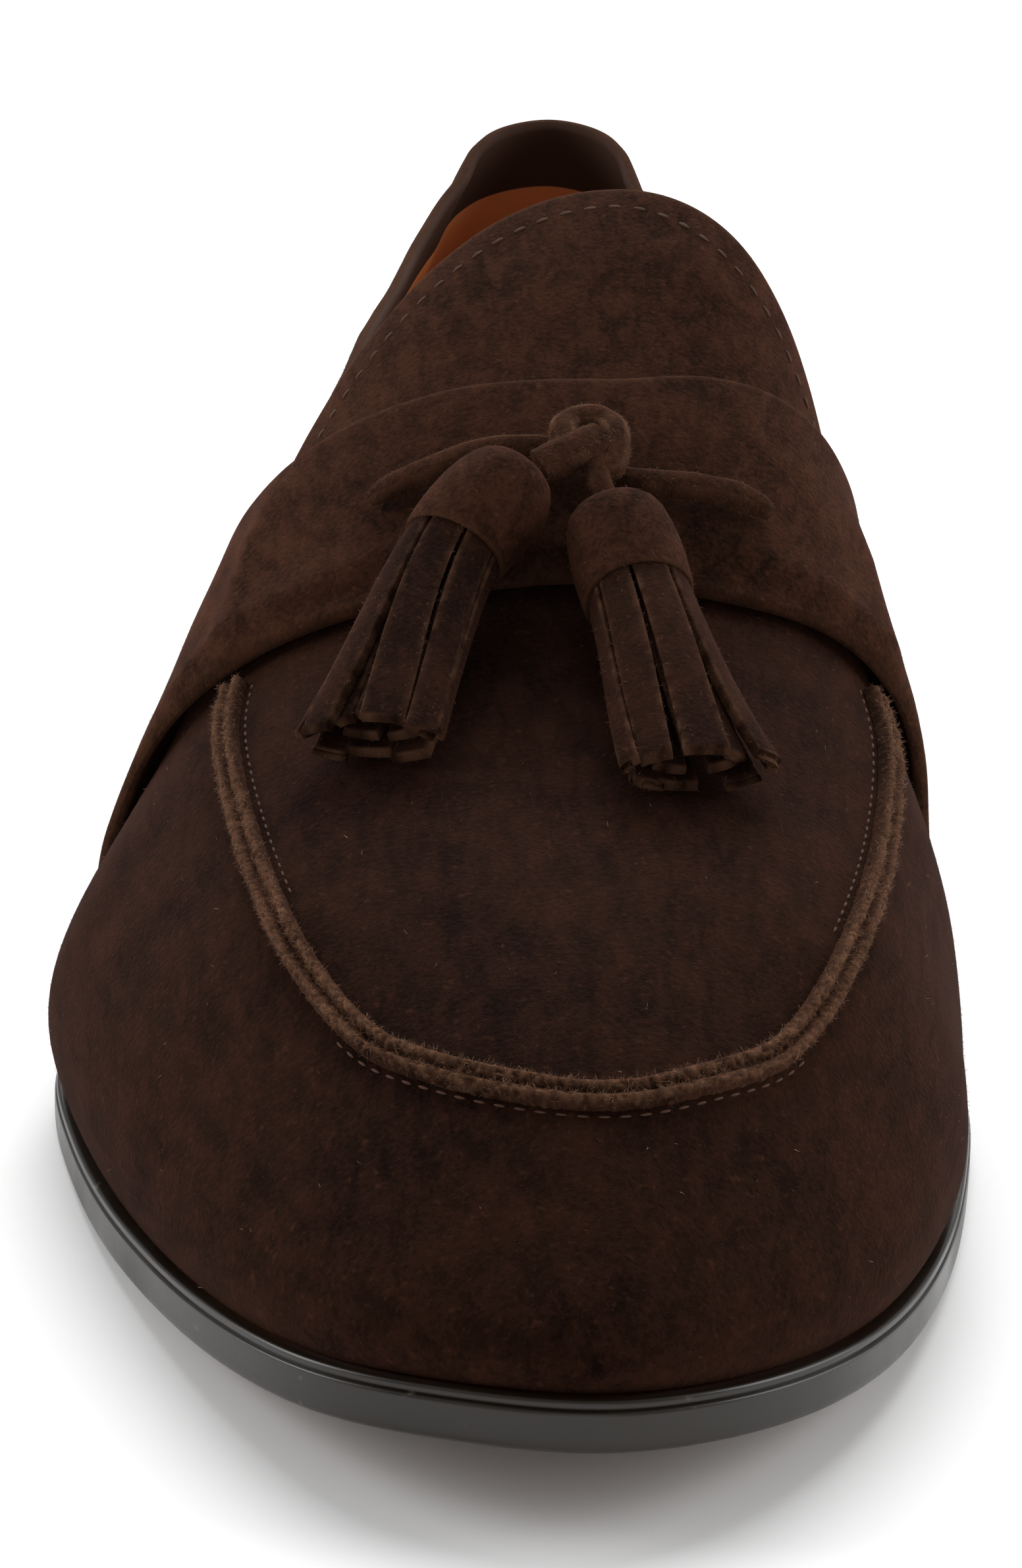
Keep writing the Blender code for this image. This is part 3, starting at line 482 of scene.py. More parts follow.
# The upper is cut from suede, lasted over a wooden last, lined in tan calf with a dark collar band, and
# drawn in under itself where it meets the sole. Its topline is a folded edge.
INSTEP_RISE, THROAT = 0.071, 0.395
TOE_CENTRE, HEEL_CENTRE, CENTRE_BLEND = 0.168, 0.893, 0.04
FEATHER_ROLL, FEATHER_TURN, FEATHER_END, FEATHER_FADE = 0.0020, 60, 0.62, 0.15
SWELL_PEAK, UPPER_ROWS, UPPER_CLIMB, UPPER_WEAR = 1.3, 110, 52, 0.002
UPPER_WAVE, UPPER_WAVE_SIZE = 0.00012, 0.012
COLLAR_BAND, COLLAR_STEP, SAME_PLACE = 0.0125, 0.0003, 2e-7
LAST = columns(
    ("along", "ridge", "lean", "lateral_square", "medial_square", "lateral_swell", "medial_swell"),
    [
        (0.000, 0.246, 0.050, 2.40, 2.40, 0.022, 0.022),
        (0.070, 0.370, 0.050, 2.50, 2.50, 0.026, 0.026),
        (0.185, 0.540, 0.050, 2.85, 3.20, 0.033, 0.033),
        (0.285, 0.662, 0.048, 2.60, 3.10, 0.042, 0.014),
        (0.365, 0.771, 0.045, 2.45, 3.20, 0.020, 0.014),
        (0.450, 0.990, 0.050, 2.45, 3.10, 0.004, 0.018),
        (0.550, 1.168, 0.080, 2.30, 3.60, 0.016, 0.024),
        (0.650, 1.205, 0.045, 1.90, 2.30, 0.026, 0.026),
        (0.780, 1.100, 0.016, 1.70, 1.75, 0.030, 0.030),
        (0.900, 1.000, 0.008, 1.65, 1.65, 0.034, 0.034),
        (0.960, 0.960, 0.008, 2.20, 2.20, 0.032, 0.032),
        (1.000, 0.937, 0.008, 3.20, 3.20, 0.030, 0.030),
    ],
)
TOPLINE = columns(
    ("along", "height"),
    [
        (0.395, 1.000), (0.430, 0.950), (0.470, 0.870), (0.510, 0.780), (0.550, 0.700), (0.600, 0.640),
        (0.700, 0.600), (0.800, 0.645), (0.850, 0.715), (0.913, 0.810), (1.000, 0.930),
    ],
)
last_curve = {key: through(LAST["along"], LAST[key]) for key in LAST}
topline_height = through(TOPLINE["along"], TOPLINE["height"])


def squareness(side, along):
    """How square the last is across: 2 is an ellipse, and more is fuller at the shoulders."""
    share = along / SOLE_LENGTH
    return np.where(side < 0, last_curve["lateral_square"](share), last_curve["medial_square"](share))


def last_points(side, along, climb):
    """Points on the outside of the last, for arrays of side, along and climb, from 0 to 1 at the ridge.
    In front of the quarters the suede rolls out over the feather line, nearly to the sole's edge."""
    side, along, climb = np.broadcast_arrays(side, along, climb)
    feet = zip(edge_point(-1, along, UPPER_INSET), edge_point(1, along, UPPER_INSET))
    foot_x, foot_y = [np.where(side < 0, lateral, medial) for lateral, medial in feet]
    share = along / SOLE_LENGTH
    first = share - TOE_CENTRE
    middle = TOE_CENTRE + 0.5 * (first + np.sqrt(first**2 + CENTRE_BLEND**2))
    second = HEEL_CENTRE - middle
    middle = HEEL_CENTRE - 0.5 * (second + np.sqrt(second**2 + CENTRE_BLEND**2))
    mid_x, mid_y = last_curve["lean"](middle) * BALL_WIDTH, middle * SOLE_LENGTH
    square = squareness(side, along)
    lateral_swell, medial_swell = last_curve["lateral_swell"](share), last_curve["medial_swell"](share)
    swell = BALL_WIDTH * np.where(side < 0, lateral_swell, medial_swell)
    angle = climb * math.pi / 2
    size = (np.cos(angle) ** square + np.sin(angle) ** square) ** (1 / square)
    wave = np.clip(4 * angle, 0, math.pi)
    bump = np.sin(wave) * (1 + np.cos(wave)) / SWELL_PEAK
    run_x, run_y = foot_x - mid_x, foot_y - mid_y
    roll = FEATHER_ROLL * np.cos(angle) ** FEATHER_TURN * np.clip((FEATHER_END - share) / FEATHER_FADE, 0, 1)
    stretch = np.cos(angle) / size + (bump * swell + roll) / np.hypot(run_x, run_y)
    x, y = mid_x + run_x * stretch, mid_y + run_y * stretch
    ridge = last_curve["ridge"](np.clip(y / SOLE_LENGTH, 0, 1)) * INSTEP_RISE
    return np.stack([x, y, sole_top(y) + GAP + (ridge - GAP) * np.sin(angle) / size], axis=-1)


def climb_at_height(side, along, height):
    """The climb at which the last has that share of its height."""
    square = squareness(side, along)
    return np.arctan2(height, np.clip(1 - height**square, 0, 1) ** (1 / square)) / (math.pi / 2)


def climb_at_reach(side, along, reach):
    """The climb at which the last has that share of its half width."""
    square = squareness(side, along)
    return np.arctan2(np.clip(1 - reach**square, 0, 1) ** (1 / square), reach) / (math.pi / 2)


def grid_faces(rows, across, skip=()):
    """Quads of a grid of points, row by row, as an array."""
    j, c = np.meshgrid(np.arange(rows - 1), [c for c in range(across - 1) if c not in skip], indexing="ij")
    a = (j * across + c).reshape(-1)
    return np.column_stack([a, a + 1, a + across + 1, a + across])


def shared(points):
    """A number for each point, the same for points that lie in one place."""
    _, index = np.unique(np.round(points / SAME_PLACE), axis=0, return_inverse=True)
    return index.reshape(-1)


def areas_of(ring):
    """Quads' areas as vectors, from their corners."""
    return np.cross(ring[:, 2] - ring[:, 0], ring[:, 3] - ring[:, 1])


def normals_of(points, faces):
    """Outward directions at the points, those in one place sharing theirs."""
    index = shared(points)
    total = np.zeros((index.max() + 1, 3))
    for k in range(4):
        np.add.at(total, index[faces[:, k]], areas_of(points[faces]))
    found = total[index]
    return found / np.maximum(np.linalg.norm(found, axis=1), 1e-15)[:, None]


def turned_out(points, faces):
    """The faces, all turned so that their front is the side that faces away from the shoe's inside."""
    ring = points[faces]
    away = ring.mean(axis=1) - points.mean(axis=0)
    return faces if (areas_of(ring) * away).sum() > 0 else faces[:, ::-1]


def folded(distance, thickness):
    """How full a sheet is at that distance from its edge, so that the edge is rounded."""
    return np.sqrt(1 - (1 - np.clip(distance / (0.5 * thickness), 0, 1)) ** 2)


def waviness(points, size, seed):
    """Slow unevenness from -1 to 1 at points, about that size across."""
    return np.array([noise.noise(tuple(p / size + seed)) for p in points])


def sheet_piece(
    name, points, faces, outer, inner, materials, replaced=(), marks=None, inner_material=0
):
    """A sheet given two skins, joined round its edge. Outer and inner are how far they lie off the points."""
    outward = normals_of(points, faces)
    count = len(points)
    both = np.vstack([points + outward * np.reshape(off, (-1, 1)) for off in (outer, inner)])
    index = shared(points)
    starts = faces.reshape(-1)
    ends = np.roll(faces, -1, axis=1).reshape(-1)
    keys = index[starts] * (index.max() + 1) + index[ends]
    back = index[ends] * (index.max() + 1) + index[starts]
    rim = (index[starts] != index[ends]) & ~np.isin(back, keys)
    sides = np.column_stack([starts[rim], starts[rim] + count, ends[rim] + count, ends[rim]])
    every = np.concatenate([faces, faces[:, ::-1] + count, sides])
    kinds = np.repeat((0, inner_material, 0), (len(faces), len(faces), len(sides)))
    kept = {key: np.concatenate([value, value]) for key, value in (marks or {}).items()}
    return mesh_piece(name, both, every, materials, replaced, kinds, kept)


def suede(name, deep, middle, light, fluff):
    """Calf split brushed to a short nap: no gloss and a velvet sheen at grazing angles. Fine flecks of
    raised fibre lie on patches a centimetre or two across, where the nap leans another way."""
    made, tree, place = new_material(name)
    combed = {"Vector": place, "Rotation": (0.3, 0.5, 0.6), "Scale": (1, 0.25, 1)}
    combed_place = add(tree, "ShaderNodeMapping", combed).outputs[0]
    nap = cloud(tree, place, 1700, 3, Roughness=0.7)
    streak = cloud(tree, combed_place, 420, 4, Distortion=0.6)
    patch = cloud(tree, place, 48, 6, Roughness=0.6, Distortion=0.5)
    fleck = cloud(tree, place, 950, 2)
    worn = add(tree, "ShaderNodeAttribute", attribute_name="worn").outputs["Fac"]
    both = add(tree, "ShaderNodeMath", {0: nap, 1: streak}, operation="ADD").outputs[0]
    base = mixed(tree, ranged(tree, both, 0.80, 1.22), deep, middle)
    base = mixed(tree, ranged(tree, patch, 0.36, 0.70, top=0.17), base, light)
    base = mixed(tree, ranged(tree, fleck, 0.63, 0.75, top=0.25), base, light)
    relief = add(tree, "ShaderNodeMath", {0: patch, 1: 2.5, 2: both}, operation="MULTIPLY_ADD").outputs[0]
    values = {
        "Base Color": mixed(tree, worn, base, "6a4b38"),
        "Roughness": 1.0,
        "Specular IOR Level": 0.05,
        "Sheen Weight": fluff,
        "Sheen Roughness": 0.38,
        "Sheen Tint": colour("a5664c"),
    }
    return surfaced(made, values, relief, 0.6, 0.0003)


def banded_lining(name):
    """The same tan calf as the insole's sock, with a band of dark calf along the topline."""
    made, tree, place = new_material(name)
    depth = add(tree, "ShaderNodeAttribute", attribute_name="below_topline").outputs["Fac"]
    below = ranged(tree, depth, COLLAR_BAND, COLLAR_BAND + COLLAR_STEP)
    tint = mixed(tree, below, "3d2b22", calf_tone(tree, place, *LINING_TAN))
    values = {"Base Color": tint, "Roughness": 0.85, "Specular IOR Level": 0.08}
    return surfaced(made, values, below, 0.6, 0.0004)


# The upper and the fringes take a darker copy of the suede than the tongue, saddle, lace, knot and caps:
# painted shade on what is one suede.
shaded_suede = suede("shaded_suede", "0f0603", "25130c", "4e3021", fluff=0.10)
front = stations(0.0, THROAT * SOLE_LENGTH, UPPER_ROWS)
rear = stations(THROAT * SOLE_LENGTH, SOLE_LENGTH, UPPER_ROWS)[1:]
upper_along = np.concatenate([front, rear])
upper_up = 1 - np.concatenate([[0, 0.002, 0.006, 0.012, 0.02], np.linspace(0.03, 1, UPPER_CLIMB - 4)])[::-1]
upper_skins, upper_tops = [], []
for side in (-1, 1):
    open_top = climb_at_height(side, upper_along, topline_height(upper_along / SOLE_LENGTH))
    top = np.where(upper_along > THROAT * SOLE_LENGTH, open_top, 1.0)
    skin = last_points(side, upper_along[:, None], upper_up[None, :] * top[:, None])
    upper_skins.append(skin)
    upper_tops.append(np.linalg.norm(skin - skin[:, -1:], axis=-1))
upper_points = np.concatenate([upper_skins[0], upper_skins[1][:, ::-1]], axis=1)
upper_edge = np.concatenate([upper_tops[0], upper_tops[1][:, ::-1]], axis=1)
upper_edge[upper_along <= THROAT * SOLE_LENGTH] = 1.0
upper_faces = grid_faces(len(upper_along), upper_points.shape[1], skip=(upper_up.size - 1,))
upper_points, upper_edge = upper_points.reshape(-1, 3), upper_edge.reshape(-1)
upper_full = folded(upper_edge, UPPER_WALL)
upper_wave = UPPER_WAVE * waviness(upper_points, UPPER_WAVE_SIZE, 3.0)
upper_normals = normals_of(upper_points, upper_faces)
sheet_piece(
    "upper_suede",
    upper_points,
    upper_faces,
    -0.5 * UPPER_WALL + 0.5 * UPPER_WALL * upper_full + upper_wave,
    -0.5 * UPPER_WALL - 0.5 * UPPER_WALL * upper_full,
    [shaded_suede, banded_lining("banded_lining")],
    ["upper"],
    {"worn": 0.25 * np.clip(1 - upper_edge / UPPER_WEAR, 0, 1), "below_topline": upper_edge},
    inner_material=1,
)

# The raised seam joins the apron to the vamp: both edges are turned up and sewn through, side by side, so
# that two rows of cut suede stand up with a groove between them and shed a pale fuzz.
SEAM_WIDTH, SEAM_HEIGHT, SEAM_END, SEAM_COUNT, CLIMB_STEP = 0.0030, 0.0014, 0.358, 700, 0.02
SEAM_ROUGH_SIZE, SEAM_SLOW_SIZE, SEAM_MOST_WORN = 0.0006, 0.006, 0.75
SEAM = columns(
    ("along", "lateral", "medial"),
    [
        (0.000, 0.590, 0.590), (0.030, 0.620, 0.620), (0.080, 0.680, 0.690), (0.165, 0.705, 0.745),
        (0.260, 0.710, 0.785), (0.370, 0.715, 0.800), (0.460, 0.700, 0.800),
    ],
)
raised_suede = suede("raised_suede_edge", "150a05", "342015", "5f4030", fluff=0.16)


def seam_climb(side, along):
    """How far up the last the seam lies, for arrays of side and along."""
    reach = {key: through(SEAM["along"], SEAM[key])(along / SOLE_LENGTH) for key in ("lateral", "medial")}
    return climb_at_reach(side, along, np.where(side < 0, reach["lateral"], reach["medial"]))


def seam_line(end, count):
    """The seam's line round the toe: its points, its directions ahead, a short step down the last from
    each point, and their sides, places and climbs."""
    places = stations(0.0, end * SOLE_LENGTH, count)
    side = np.repeat((-1, 1), (len(places), len(places) - 1))
    along = np.concatenate([places[::-1], places[1:]])
    climb = seam_climb(side, along)
    centre = last_points(side, along, climb)
    forward = unit(np.gradient(centre, axis=0))
    down = last_points(side, along, climb - CLIMB_STEP) - centre
    down -= (down * forward).sum(axis=1)[:, None] * forward
    return centre, forward, down, side, along, climb


def swept_piece(name, rings, materials, replaced=(), marks=None, sharp=60):
    """A closed piece through rows of points, each row one closed section, with closed ends."""
    count, ring = rings.shape[:2]
    i = np.arange(ring)
    after = (i + 1) % ring
    first, last = count * ring, count * ring + 1
    faces = []
    for low in range(0, (count - 1) * ring, ring):
        faces.append(np.column_stack([low + i, low + after, low + ring + after, low + ring + i]))
    for base, middle in ((0, first), ((count - 1) * ring, last)):
        faces.append(np.column_stack([base + i, base + after, np.full(ring, middle), np.full(ring, middle)]))
    points = np.vstack([rings.reshape(-1, 3), rings[0].mean(axis=0), rings[-1].mean(axis=0)])
    kept = {key: np.concatenate([np.reshape(v, -1), [0, 0]]) for key, v in (marks or {}).items()}
    return mesh_piece(name, points, np.concatenate(faces), materials, replaced, None, kept, sharp)


SEAM_PROFILE = columns(
    ("width", "height"),
    [
        (-0.50, -0.20), (-0.51, 0.20), (-0.49, 0.55), (-0.43, 0.85), (-0.33, 1.00), (-0.22, 0.98),
        (-0.12, 0.80), (-0.03, 0.52), (0.03, 0.52), (0.12, 0.80), (0.22, 0.98), (0.33, 1.00),
        (0.43, 0.85), (0.49, 0.55), (0.51, 0.20), (0.50, -0.20),
    ],
)
seam_centre, seam_forward, seam_down = seam_line(SEAM_END, SEAM_COUNT)[:3]
seam_down = unit(seam_down)
seam_out = np.cross(seam_down, seam_forward)
seam_out *= np.sign(seam_out[:, 2:3])
seam_rings, seam_worn = [], []
for k, (width, height) in enumerate(zip(SEAM_PROFILE["width"], SEAM_PROFILE["height"])):
    rough = waviness(seam_centre, SEAM_ROUGH_SIZE, 7.0 + 3 * k)
    slow = waviness(seam_centre, SEAM_SLOW_SIZE, 2.0 + k)
    width = width * (1 + 0.06 * slow) + 0.045 * rough
    rise = GAP + (height + (0.20 * rough + 0.08 * slow) * (height > 0)) * SEAM_HEIGHT
    seam_rings.append(seam_centre + seam_down * (width * SEAM_WIDTH)[:, None] + seam_out * rise[:, None])
    worn = 0.55 * np.clip(height, 0, 1) ** 3 - 0.15 + 0.6 * rough + 0.35 * slow
    seam_worn.append(np.clip(worn, 0, SEAM_MOST_WORN))
seam_rings, seam_worn = np.stack(seam_rings, axis=1), np.stack(seam_worn, axis=1)
swept_piece(
    "apron_seam_ridge",
    seam_rings,
    [raised_suede],
    ["apron_seam"],
    {"worn": seam_worn},
)

# Fine rows of stitches run beside the seam, on the apron and below it on the vamp's toe. They are sewn
# with waxed thread and made as a pattern along a line.
APRON_PITCH, VAMP_PITCH, STITCH_SHARE, THREAD_WIDTH = 0.0018, 0.0020, 0.6, 0.00034
APRON_OFFSET, APRON_END, VAMP_OFFSET, VAMP_END = -0.0022, 0.352, 0.0021, 0.09
APRON_START_LATERAL, APRON_START_MEDIAL, APRON_SPOTS, VAMP_SPOTS = 0.19, 0.17, 500, 200


def pattern_tree(name, inputs):
    """An empty node tree with a geometry way in and out, and these named inputs."""
    made = bpy.data.node_groups.new(name, "GeometryNodeTree")
    made.interface.new_socket("Guide", in_out="INPUT", socket_type="NodeSocketGeometry")
    for key, kind in inputs.items():
        made.interface.new_socket(key, in_out="INPUT", socket_type="NodeSocket" + kind)
    made.interface.new_socket("Result", in_out="OUTPUT", socket_type="NodeSocketGeometry")
    return made, add(made, "NodeGroupInput").outputs


def copy_over(tree, given, spots, shape, turned, size):
    """End a pattern: a copy of the shape on each spot, made real and given its material."""
    each = {"Points": spots, "Instance": shape, "Rotation": turned, "Scale": size}
    copies = add(tree, "GeometryNodeInstanceOnPoints", each).outputs[0]
    real = add(tree, "GeometryNodeRealizeInstances", {"Geometry": copies}).outputs[0]
    dressed = add(tree, "GeometryNodeSetMaterial", {"Geometry": real, "Material": given["Material"]})
    add(tree, "NodeGroupOutput", {"Result": dressed.outputs[0]})
    return tree


def stitch_pattern():
    """Stitches along a guide line, one a pitch, each a thread's short round top."""
    made, given = pattern_tree(
        "stitches", {"Pitch": "Float", "Length": "Float", "Thread": "Float", "Material": "Material"}
    )
    line = add(made, "GeometryNodeMeshToCurve", {"Mesh": given["Guide"]}).outputs[0]
    pitch = {"Curve": line, "Length": given["Pitch"]}
    spots = add(made, "GeometryNodeResampleCurve", pitch, mode="LENGTH").outputs[0]
    tangent = add(made, "GeometryNodeInputTangent").outputs[0]
    turned = add(made, "FunctionNodeAlignRotationToVector", {"Vector": tangent}, axis="Z").outputs[0]
    sizes = {"X": given["Thread"], "Y": given["Thread"], "Z": given["Length"]}
    ball = add(made, "GeometryNodeMeshUVSphere", {"Segments": 8, "Rings": 6, "Radius": 0.5}).outputs[0]
    return copy_over(made, given, spots, ball, turned, add(made, "ShaderNodeCombineXYZ", sizes).outputs[0])


def guide_mesh(points, faces=(), marks=None):
    """A guide for a pattern: a line through the points, or a surface, in the part's own frame."""
    made = bpy.data.meshes.new("guide")
    edges = [] if len(faces) else [(i, i + 1) for i in range(len(points) - 1)]
    made.from_pydata((np.asarray(points) - CENTRE).tolist(), edges, [list(face) for face in faces])
    for key, values in (marks or {}).items():
        layer = made.attributes.new(key, "FLOAT", "POINT")
        layer.data.foreach_set("value", np.asarray(values, np.float32))
    return made


def grown_piece(name, tree, guide, values, slot):
    """The plain mesh that a pattern makes from its guide, as a piece of its own."""
    made = bpy.data.objects.new(name, guide)
    bpy.context.scene.collection.objects.link(made)
    pattern = made.modifiers.new("pattern", "NODES")
    pattern.node_group = tree
    for item in tree.interface.items_tree:
        if item.in_out == "INPUT" and item.name in values:
            pattern[item.identifier] = values[item.name]
    graph = bpy.context.evaluated_depsgraph_get()
    ready = made.evaluated_get(graph)
    mesh = bpy.data.meshes.new_from_object(ready, preserve_all_data_layers=True, depsgraph=graph)
    made.modifiers.remove(pattern)
    made.data = mesh
    mesh.shade_smooth()
    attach(made, "root")
    return made


def thread(name, code):
    """Waxed sewing thread, matt with a faint gloss."""
    values = {"Base Color": colour(code), "Roughness": 0.7, "Specular IOR Level": 0.2}
    return surfaced(new_material(name)[0], values)


def seam_row(offset, end, count):
    """A line on the last beside the whole seam, that far down from it in metres, and each point's place."""
    _, _, down, side, along, climb = seam_line(end, count)
    row = last_points(side, along, climb - CLIMB_STEP * offset / np.linalg.norm(down, axis=1))
    return row, side, along / SOLE_LENGTH


stitches = stitch_pattern()
apron_thread = thread("apron_thread", "4a3124")
apron_row, row_side, row_share = seam_row(APRON_OFFSET, APRON_END, APRON_SPOTS)
vamp_row = seam_row(VAMP_OFFSET, VAMP_END, VAMP_SPOTS)[0]
for name, row, pitch in (
    ("apron_stitches_lateral", apron_row[(row_side < 0) & (row_share > APRON_START_LATERAL)], APRON_PITCH),
    ("apron_stitches_medial", apron_row[(row_side > 0) & (row_share > APRON_START_MEDIAL)], APRON_PITCH),
    ("vamp_stitches", vamp_row, VAMP_PITCH),
):
    grown_piece(
        name,
        stitches,
        guide_mesh(row),
        {"Pitch": pitch, "Length": STITCH_SHARE * pitch, "Thread": THREAD_WIDTH, "Material": apron_thread},
        "suede_edge",
    )

# The suede's nap, loose lint and the fuzz of the seam's cut edges are short fibres of raised leather. They
# are scattered over a copy of each surface, so many to the square metre, and stand up from it.
NAP_SIZES, LINT_SIZES, SEAM_FIBRE_SIZES = (0.00042, 0.000016), (0.00055, 0.000028), (0.00065, 0.000024)
UPPER_NAP, FLAT_NAP, UPPER_LINT, SEAM_FIBRES = 6.5e5, 9e5, 1.1e4, 18e6


def fibre_pattern():
    """Loose fibres that stand on a surface, bent every way, more of them where the guide says."""
    sizes = {"Density": "Float", "Length": "Float", "Width": "Float"}
    made, given = pattern_tree("fibres", {**sizes, "Seed": "Int", "Material": "Material"})
    seed = given["Seed"]
    weight = add(made, "GeometryNodeInputNamedAttribute", {"Name": "fuzz"}).outputs[0]
    density = add(made, "ShaderNodeMath", {0: weight, 1: given["Density"]}, operation="MULTIPLY").outputs[0]
    scatter = {"Mesh": given["Guide"], "Density": density, "Seed": seed}
    spots = add(made, "GeometryNodeDistributePointsOnFaces", scatter).outputs
    cone = {"Vertices": 3, "Radius Top": 0.0, "Radius Bottom": given["Width"], "Depth": given["Length"]}
    blade = add(made, "GeometryNodeMeshCone", cone, fill_type="NGON").outputs["Mesh"]
    bend = {"Min": (-1.1, -1.1, -3.1), "Max": (1.1, 1.1, 3.1), "Seed": seed}
    leant = add(made, "FunctionNodeRandomValue", bend, data_type="FLOAT_VECTOR").outputs[0]
    both = {"Rotation": spots["Rotation"], "Rotate By": leant}
    turned = add(made, "FunctionNodeRotateRotation", both, rotation_space="LOCAL").outputs[0]
    size = add(made, "FunctionNodeRandomValue", {2: 0.4, 3: 1.3, "Seed": seed}, data_type="FLOAT").outputs[1]
    return copy_over(made, given, spots["Points"], blade, turned, size)


def fibre(name, low, high):
    """Single fibres of raised leather: each strand dull, and some bleached nearly to tan."""
    made, tree, place = new_material(name)
    spread = ranged(tree, cloud(tree, place, 700, 1), 0.35, 0.65)
    return surfaced(made, {"Base Color": mixed(tree, spread, low, high), "Roughness": 0.9})


fibres = fibre_pattern()
nap_fibre = fibre("nap_fibre", "2a1a12", "4a3122")
lint_fibre = fibre("lint_fibre", "7a5a44", "b59a84")
seam_fibre = fibre("seam_fibre", "3a2519", "8a6448")


def nap(name, skin, faces, density, seed, sizes=NAP_SIZES, strand=nap_fibre, slot="suede", fuzz=1):
    """Fibres of that length and width standing on a skin of points and faces, as a piece of its own."""
    return grown_piece(
        name,
        fibres,
        guide_mesh(skin, turned_out(skin, faces), {"fuzz": np.broadcast_to(fuzz, len(skin))}),
        {"Density": density, "Length": sizes[0], "Width": sizes[1], "Seed": seed, "Material": strand},
        slot,
    )


upper_skin = upper_points + upper_normals * upper_wave[:, None]
nap("upper_nap", upper_skin, upper_faces, UPPER_NAP, 3)
nap("upper_lint", upper_skin, upper_faces, UPPER_LINT, 3, LINT_SIZES, lint_fibre)
shown = seam_rings[:, 1:-1]
nap(
    "seam_fibres",
    shown.reshape(-1, 3),
    grid_faces(*shown.shape[:2]),
    SEAM_FIBRES,
    5,
    SEAM_FIBRE_SIZES,
    seam_fibre,
    "suede_edge",
    np.clip(0.10 + 1.6 * seam_worn[:, 1:-1], 0, 1).reshape(-1),
)

# The tongue is one piece of suede, lined, that stands up over the instep. Its edge is turned and sewn
# down by a row of light thread.
TONGUE_GAP, TONGUE_THICKNESS = 0.0005, 0.0018
TONGUE_ROOT, TONGUE_SHOULDER, TONGUE_END = 0.385, 0.460, 0.553
TONGUE_LATERAL, TONGUE_MEDIAL, TONGUE_WAIST, TONGUE_ROUNDNESS = 0.50, 0.58, 0.80, 1.85
TONGUE_WAVE, TONGUE_WAVE_SIZE, FOLD_WEAR, TONGUE_ACROSS, TONGUE_OUT = 0.00016, 0.010, 0.0016, 120, 80


def tongue_points(across, out):
    """Points of the tongue: across from -1 to 1, and out from its root to its far edge."""
    round_end = np.clip(1 - np.abs(across) ** TONGUE_ROUNDNESS, 0, 1) ** (1 / TONGUE_ROUNDNESS)
    ends = TONGUE_SHOULDER + (TONGUE_END - TONGUE_SHOULDER) * round_end
    along = SOLE_LENGTH * (TONGUE_ROOT + (ends - TONGUE_ROOT) * out)
    width = np.where(across < 0, TONGUE_LATERAL, TONGUE_MEDIAL) * (TONGUE_WAIST + (1 - TONGUE_WAIST) * out)
    return last_points(np.where(across < 0, -1, 1), along, 1 - np.abs(across) * width)


def fine_ends(count, lead):
    """Shares from 0 to 1 that crowd at both ends."""
    crowd = np.array([0, 0.0015, 0.005, 0.010, 0.018, 0.03]) * lead
    return np.concatenate([crowd, np.linspace(crowd[-1], 1 - crowd[-1], count)[1:-1], 1 - crowd[::-1]])


def rim_distance(grid):
    """How far a grid's points lie from its last row and from both of its sides."""
    return np.minimum.reduce([
        np.linalg.norm(grid - grid[-1:], axis=-1),
        np.linalg.norm(grid - grid[:, :1], axis=-1),
        np.linalg.norm(grid - grid[:, -1:], axis=-1),
    ])


# The tongue, saddle, lace, knot and tassel caps take a lighter copy of the same suede: painted light.
lit_suede = suede("lit_suede", "190d07", "372015", "5e3a29", fluff=0.13)
tongue_across = 2 * fine_ends(TONGUE_ACROSS, 1.0) - 1
tongue_out = 1 - fine_ends(TONGUE_OUT, 1.0)[::-1]
tongue_grid = tongue_points(tongue_across[None, :], tongue_out[:, None])
tongue_rim = rim_distance(tongue_grid).reshape(-1)
tongue_flat = tongue_grid.reshape(-1, 3)
tongue_faces = grid_faces(*tongue_grid.shape[:2])
tongue_full = folded(tongue_rim, TONGUE_THICKNESS)
tongue_mid = TONGUE_GAP + 0.5 * TONGUE_THICKNESS
tongue_outer = tongue_mid + 0.5 * TONGUE_THICKNESS * tongue_full
tongue_outer += TONGUE_WAVE * waviness(tongue_flat, TONGUE_WAVE_SIZE, 11.0) * tongue_full
sheet_piece(
    "tongue_suede",
    tongue_flat,
    tongue_faces,
    tongue_outer,
    tongue_mid - 0.5 * TONGUE_THICKNESS * tongue_full,
    [lit_suede, smooth_calf("dark_calf_collar", "1f1410", "2c1d17")],
    ["tongue"],
    {"worn": 0.25 * np.clip(1 - tongue_rim / FOLD_WEAR, 0, 1)},
    inner_material=1,
)
tongue_normals = normals_of(tongue_flat, tongue_faces)
nap("tongue_nap", tongue_flat + tongue_normals * tongue_outer[:, None], tongue_faces, FLAT_NAP, 7)

# The tongue's turned edge is held by one row of stitches in lighter thread. The row follows the edge at a
# fixed distance, from the saddle round the top and back.
TONGUE_STITCH_INSET, TONGUE_STITCH_PITCH = 0.0045, 0.0031
TONGUE_STITCH_LENGTH, TONGUE_THREAD = 0.0016, 0.00044
TONGUE_STITCH_START, TONGUE_STITCH_SPOTS, TONGUE_STITCH_SMOOTHING, TONGUE_HEART = 45, 240, 6, (60, 66)
tongue_face = tongue_flat + tongue_normals * (TONGUE_GAP + TONGUE_THICKNESS)
tongue_sides = tongue_grid[TONGUE_STITCH_START:]
tongue_edge = np.concatenate([tongue_sides[:, 0], tongue_grid[-1, 1:-1], tongue_sides[::-1, -1]])
edge_run = run_along(tongue_edge)
tongue_edge = points_at(np.linspace(0, edge_run[-1], TONGUE_STITCH_SPOTS), edge_run, tongue_edge)
tongue_heart = tongue_grid[TONGUE_HEART]
tongue_row = []
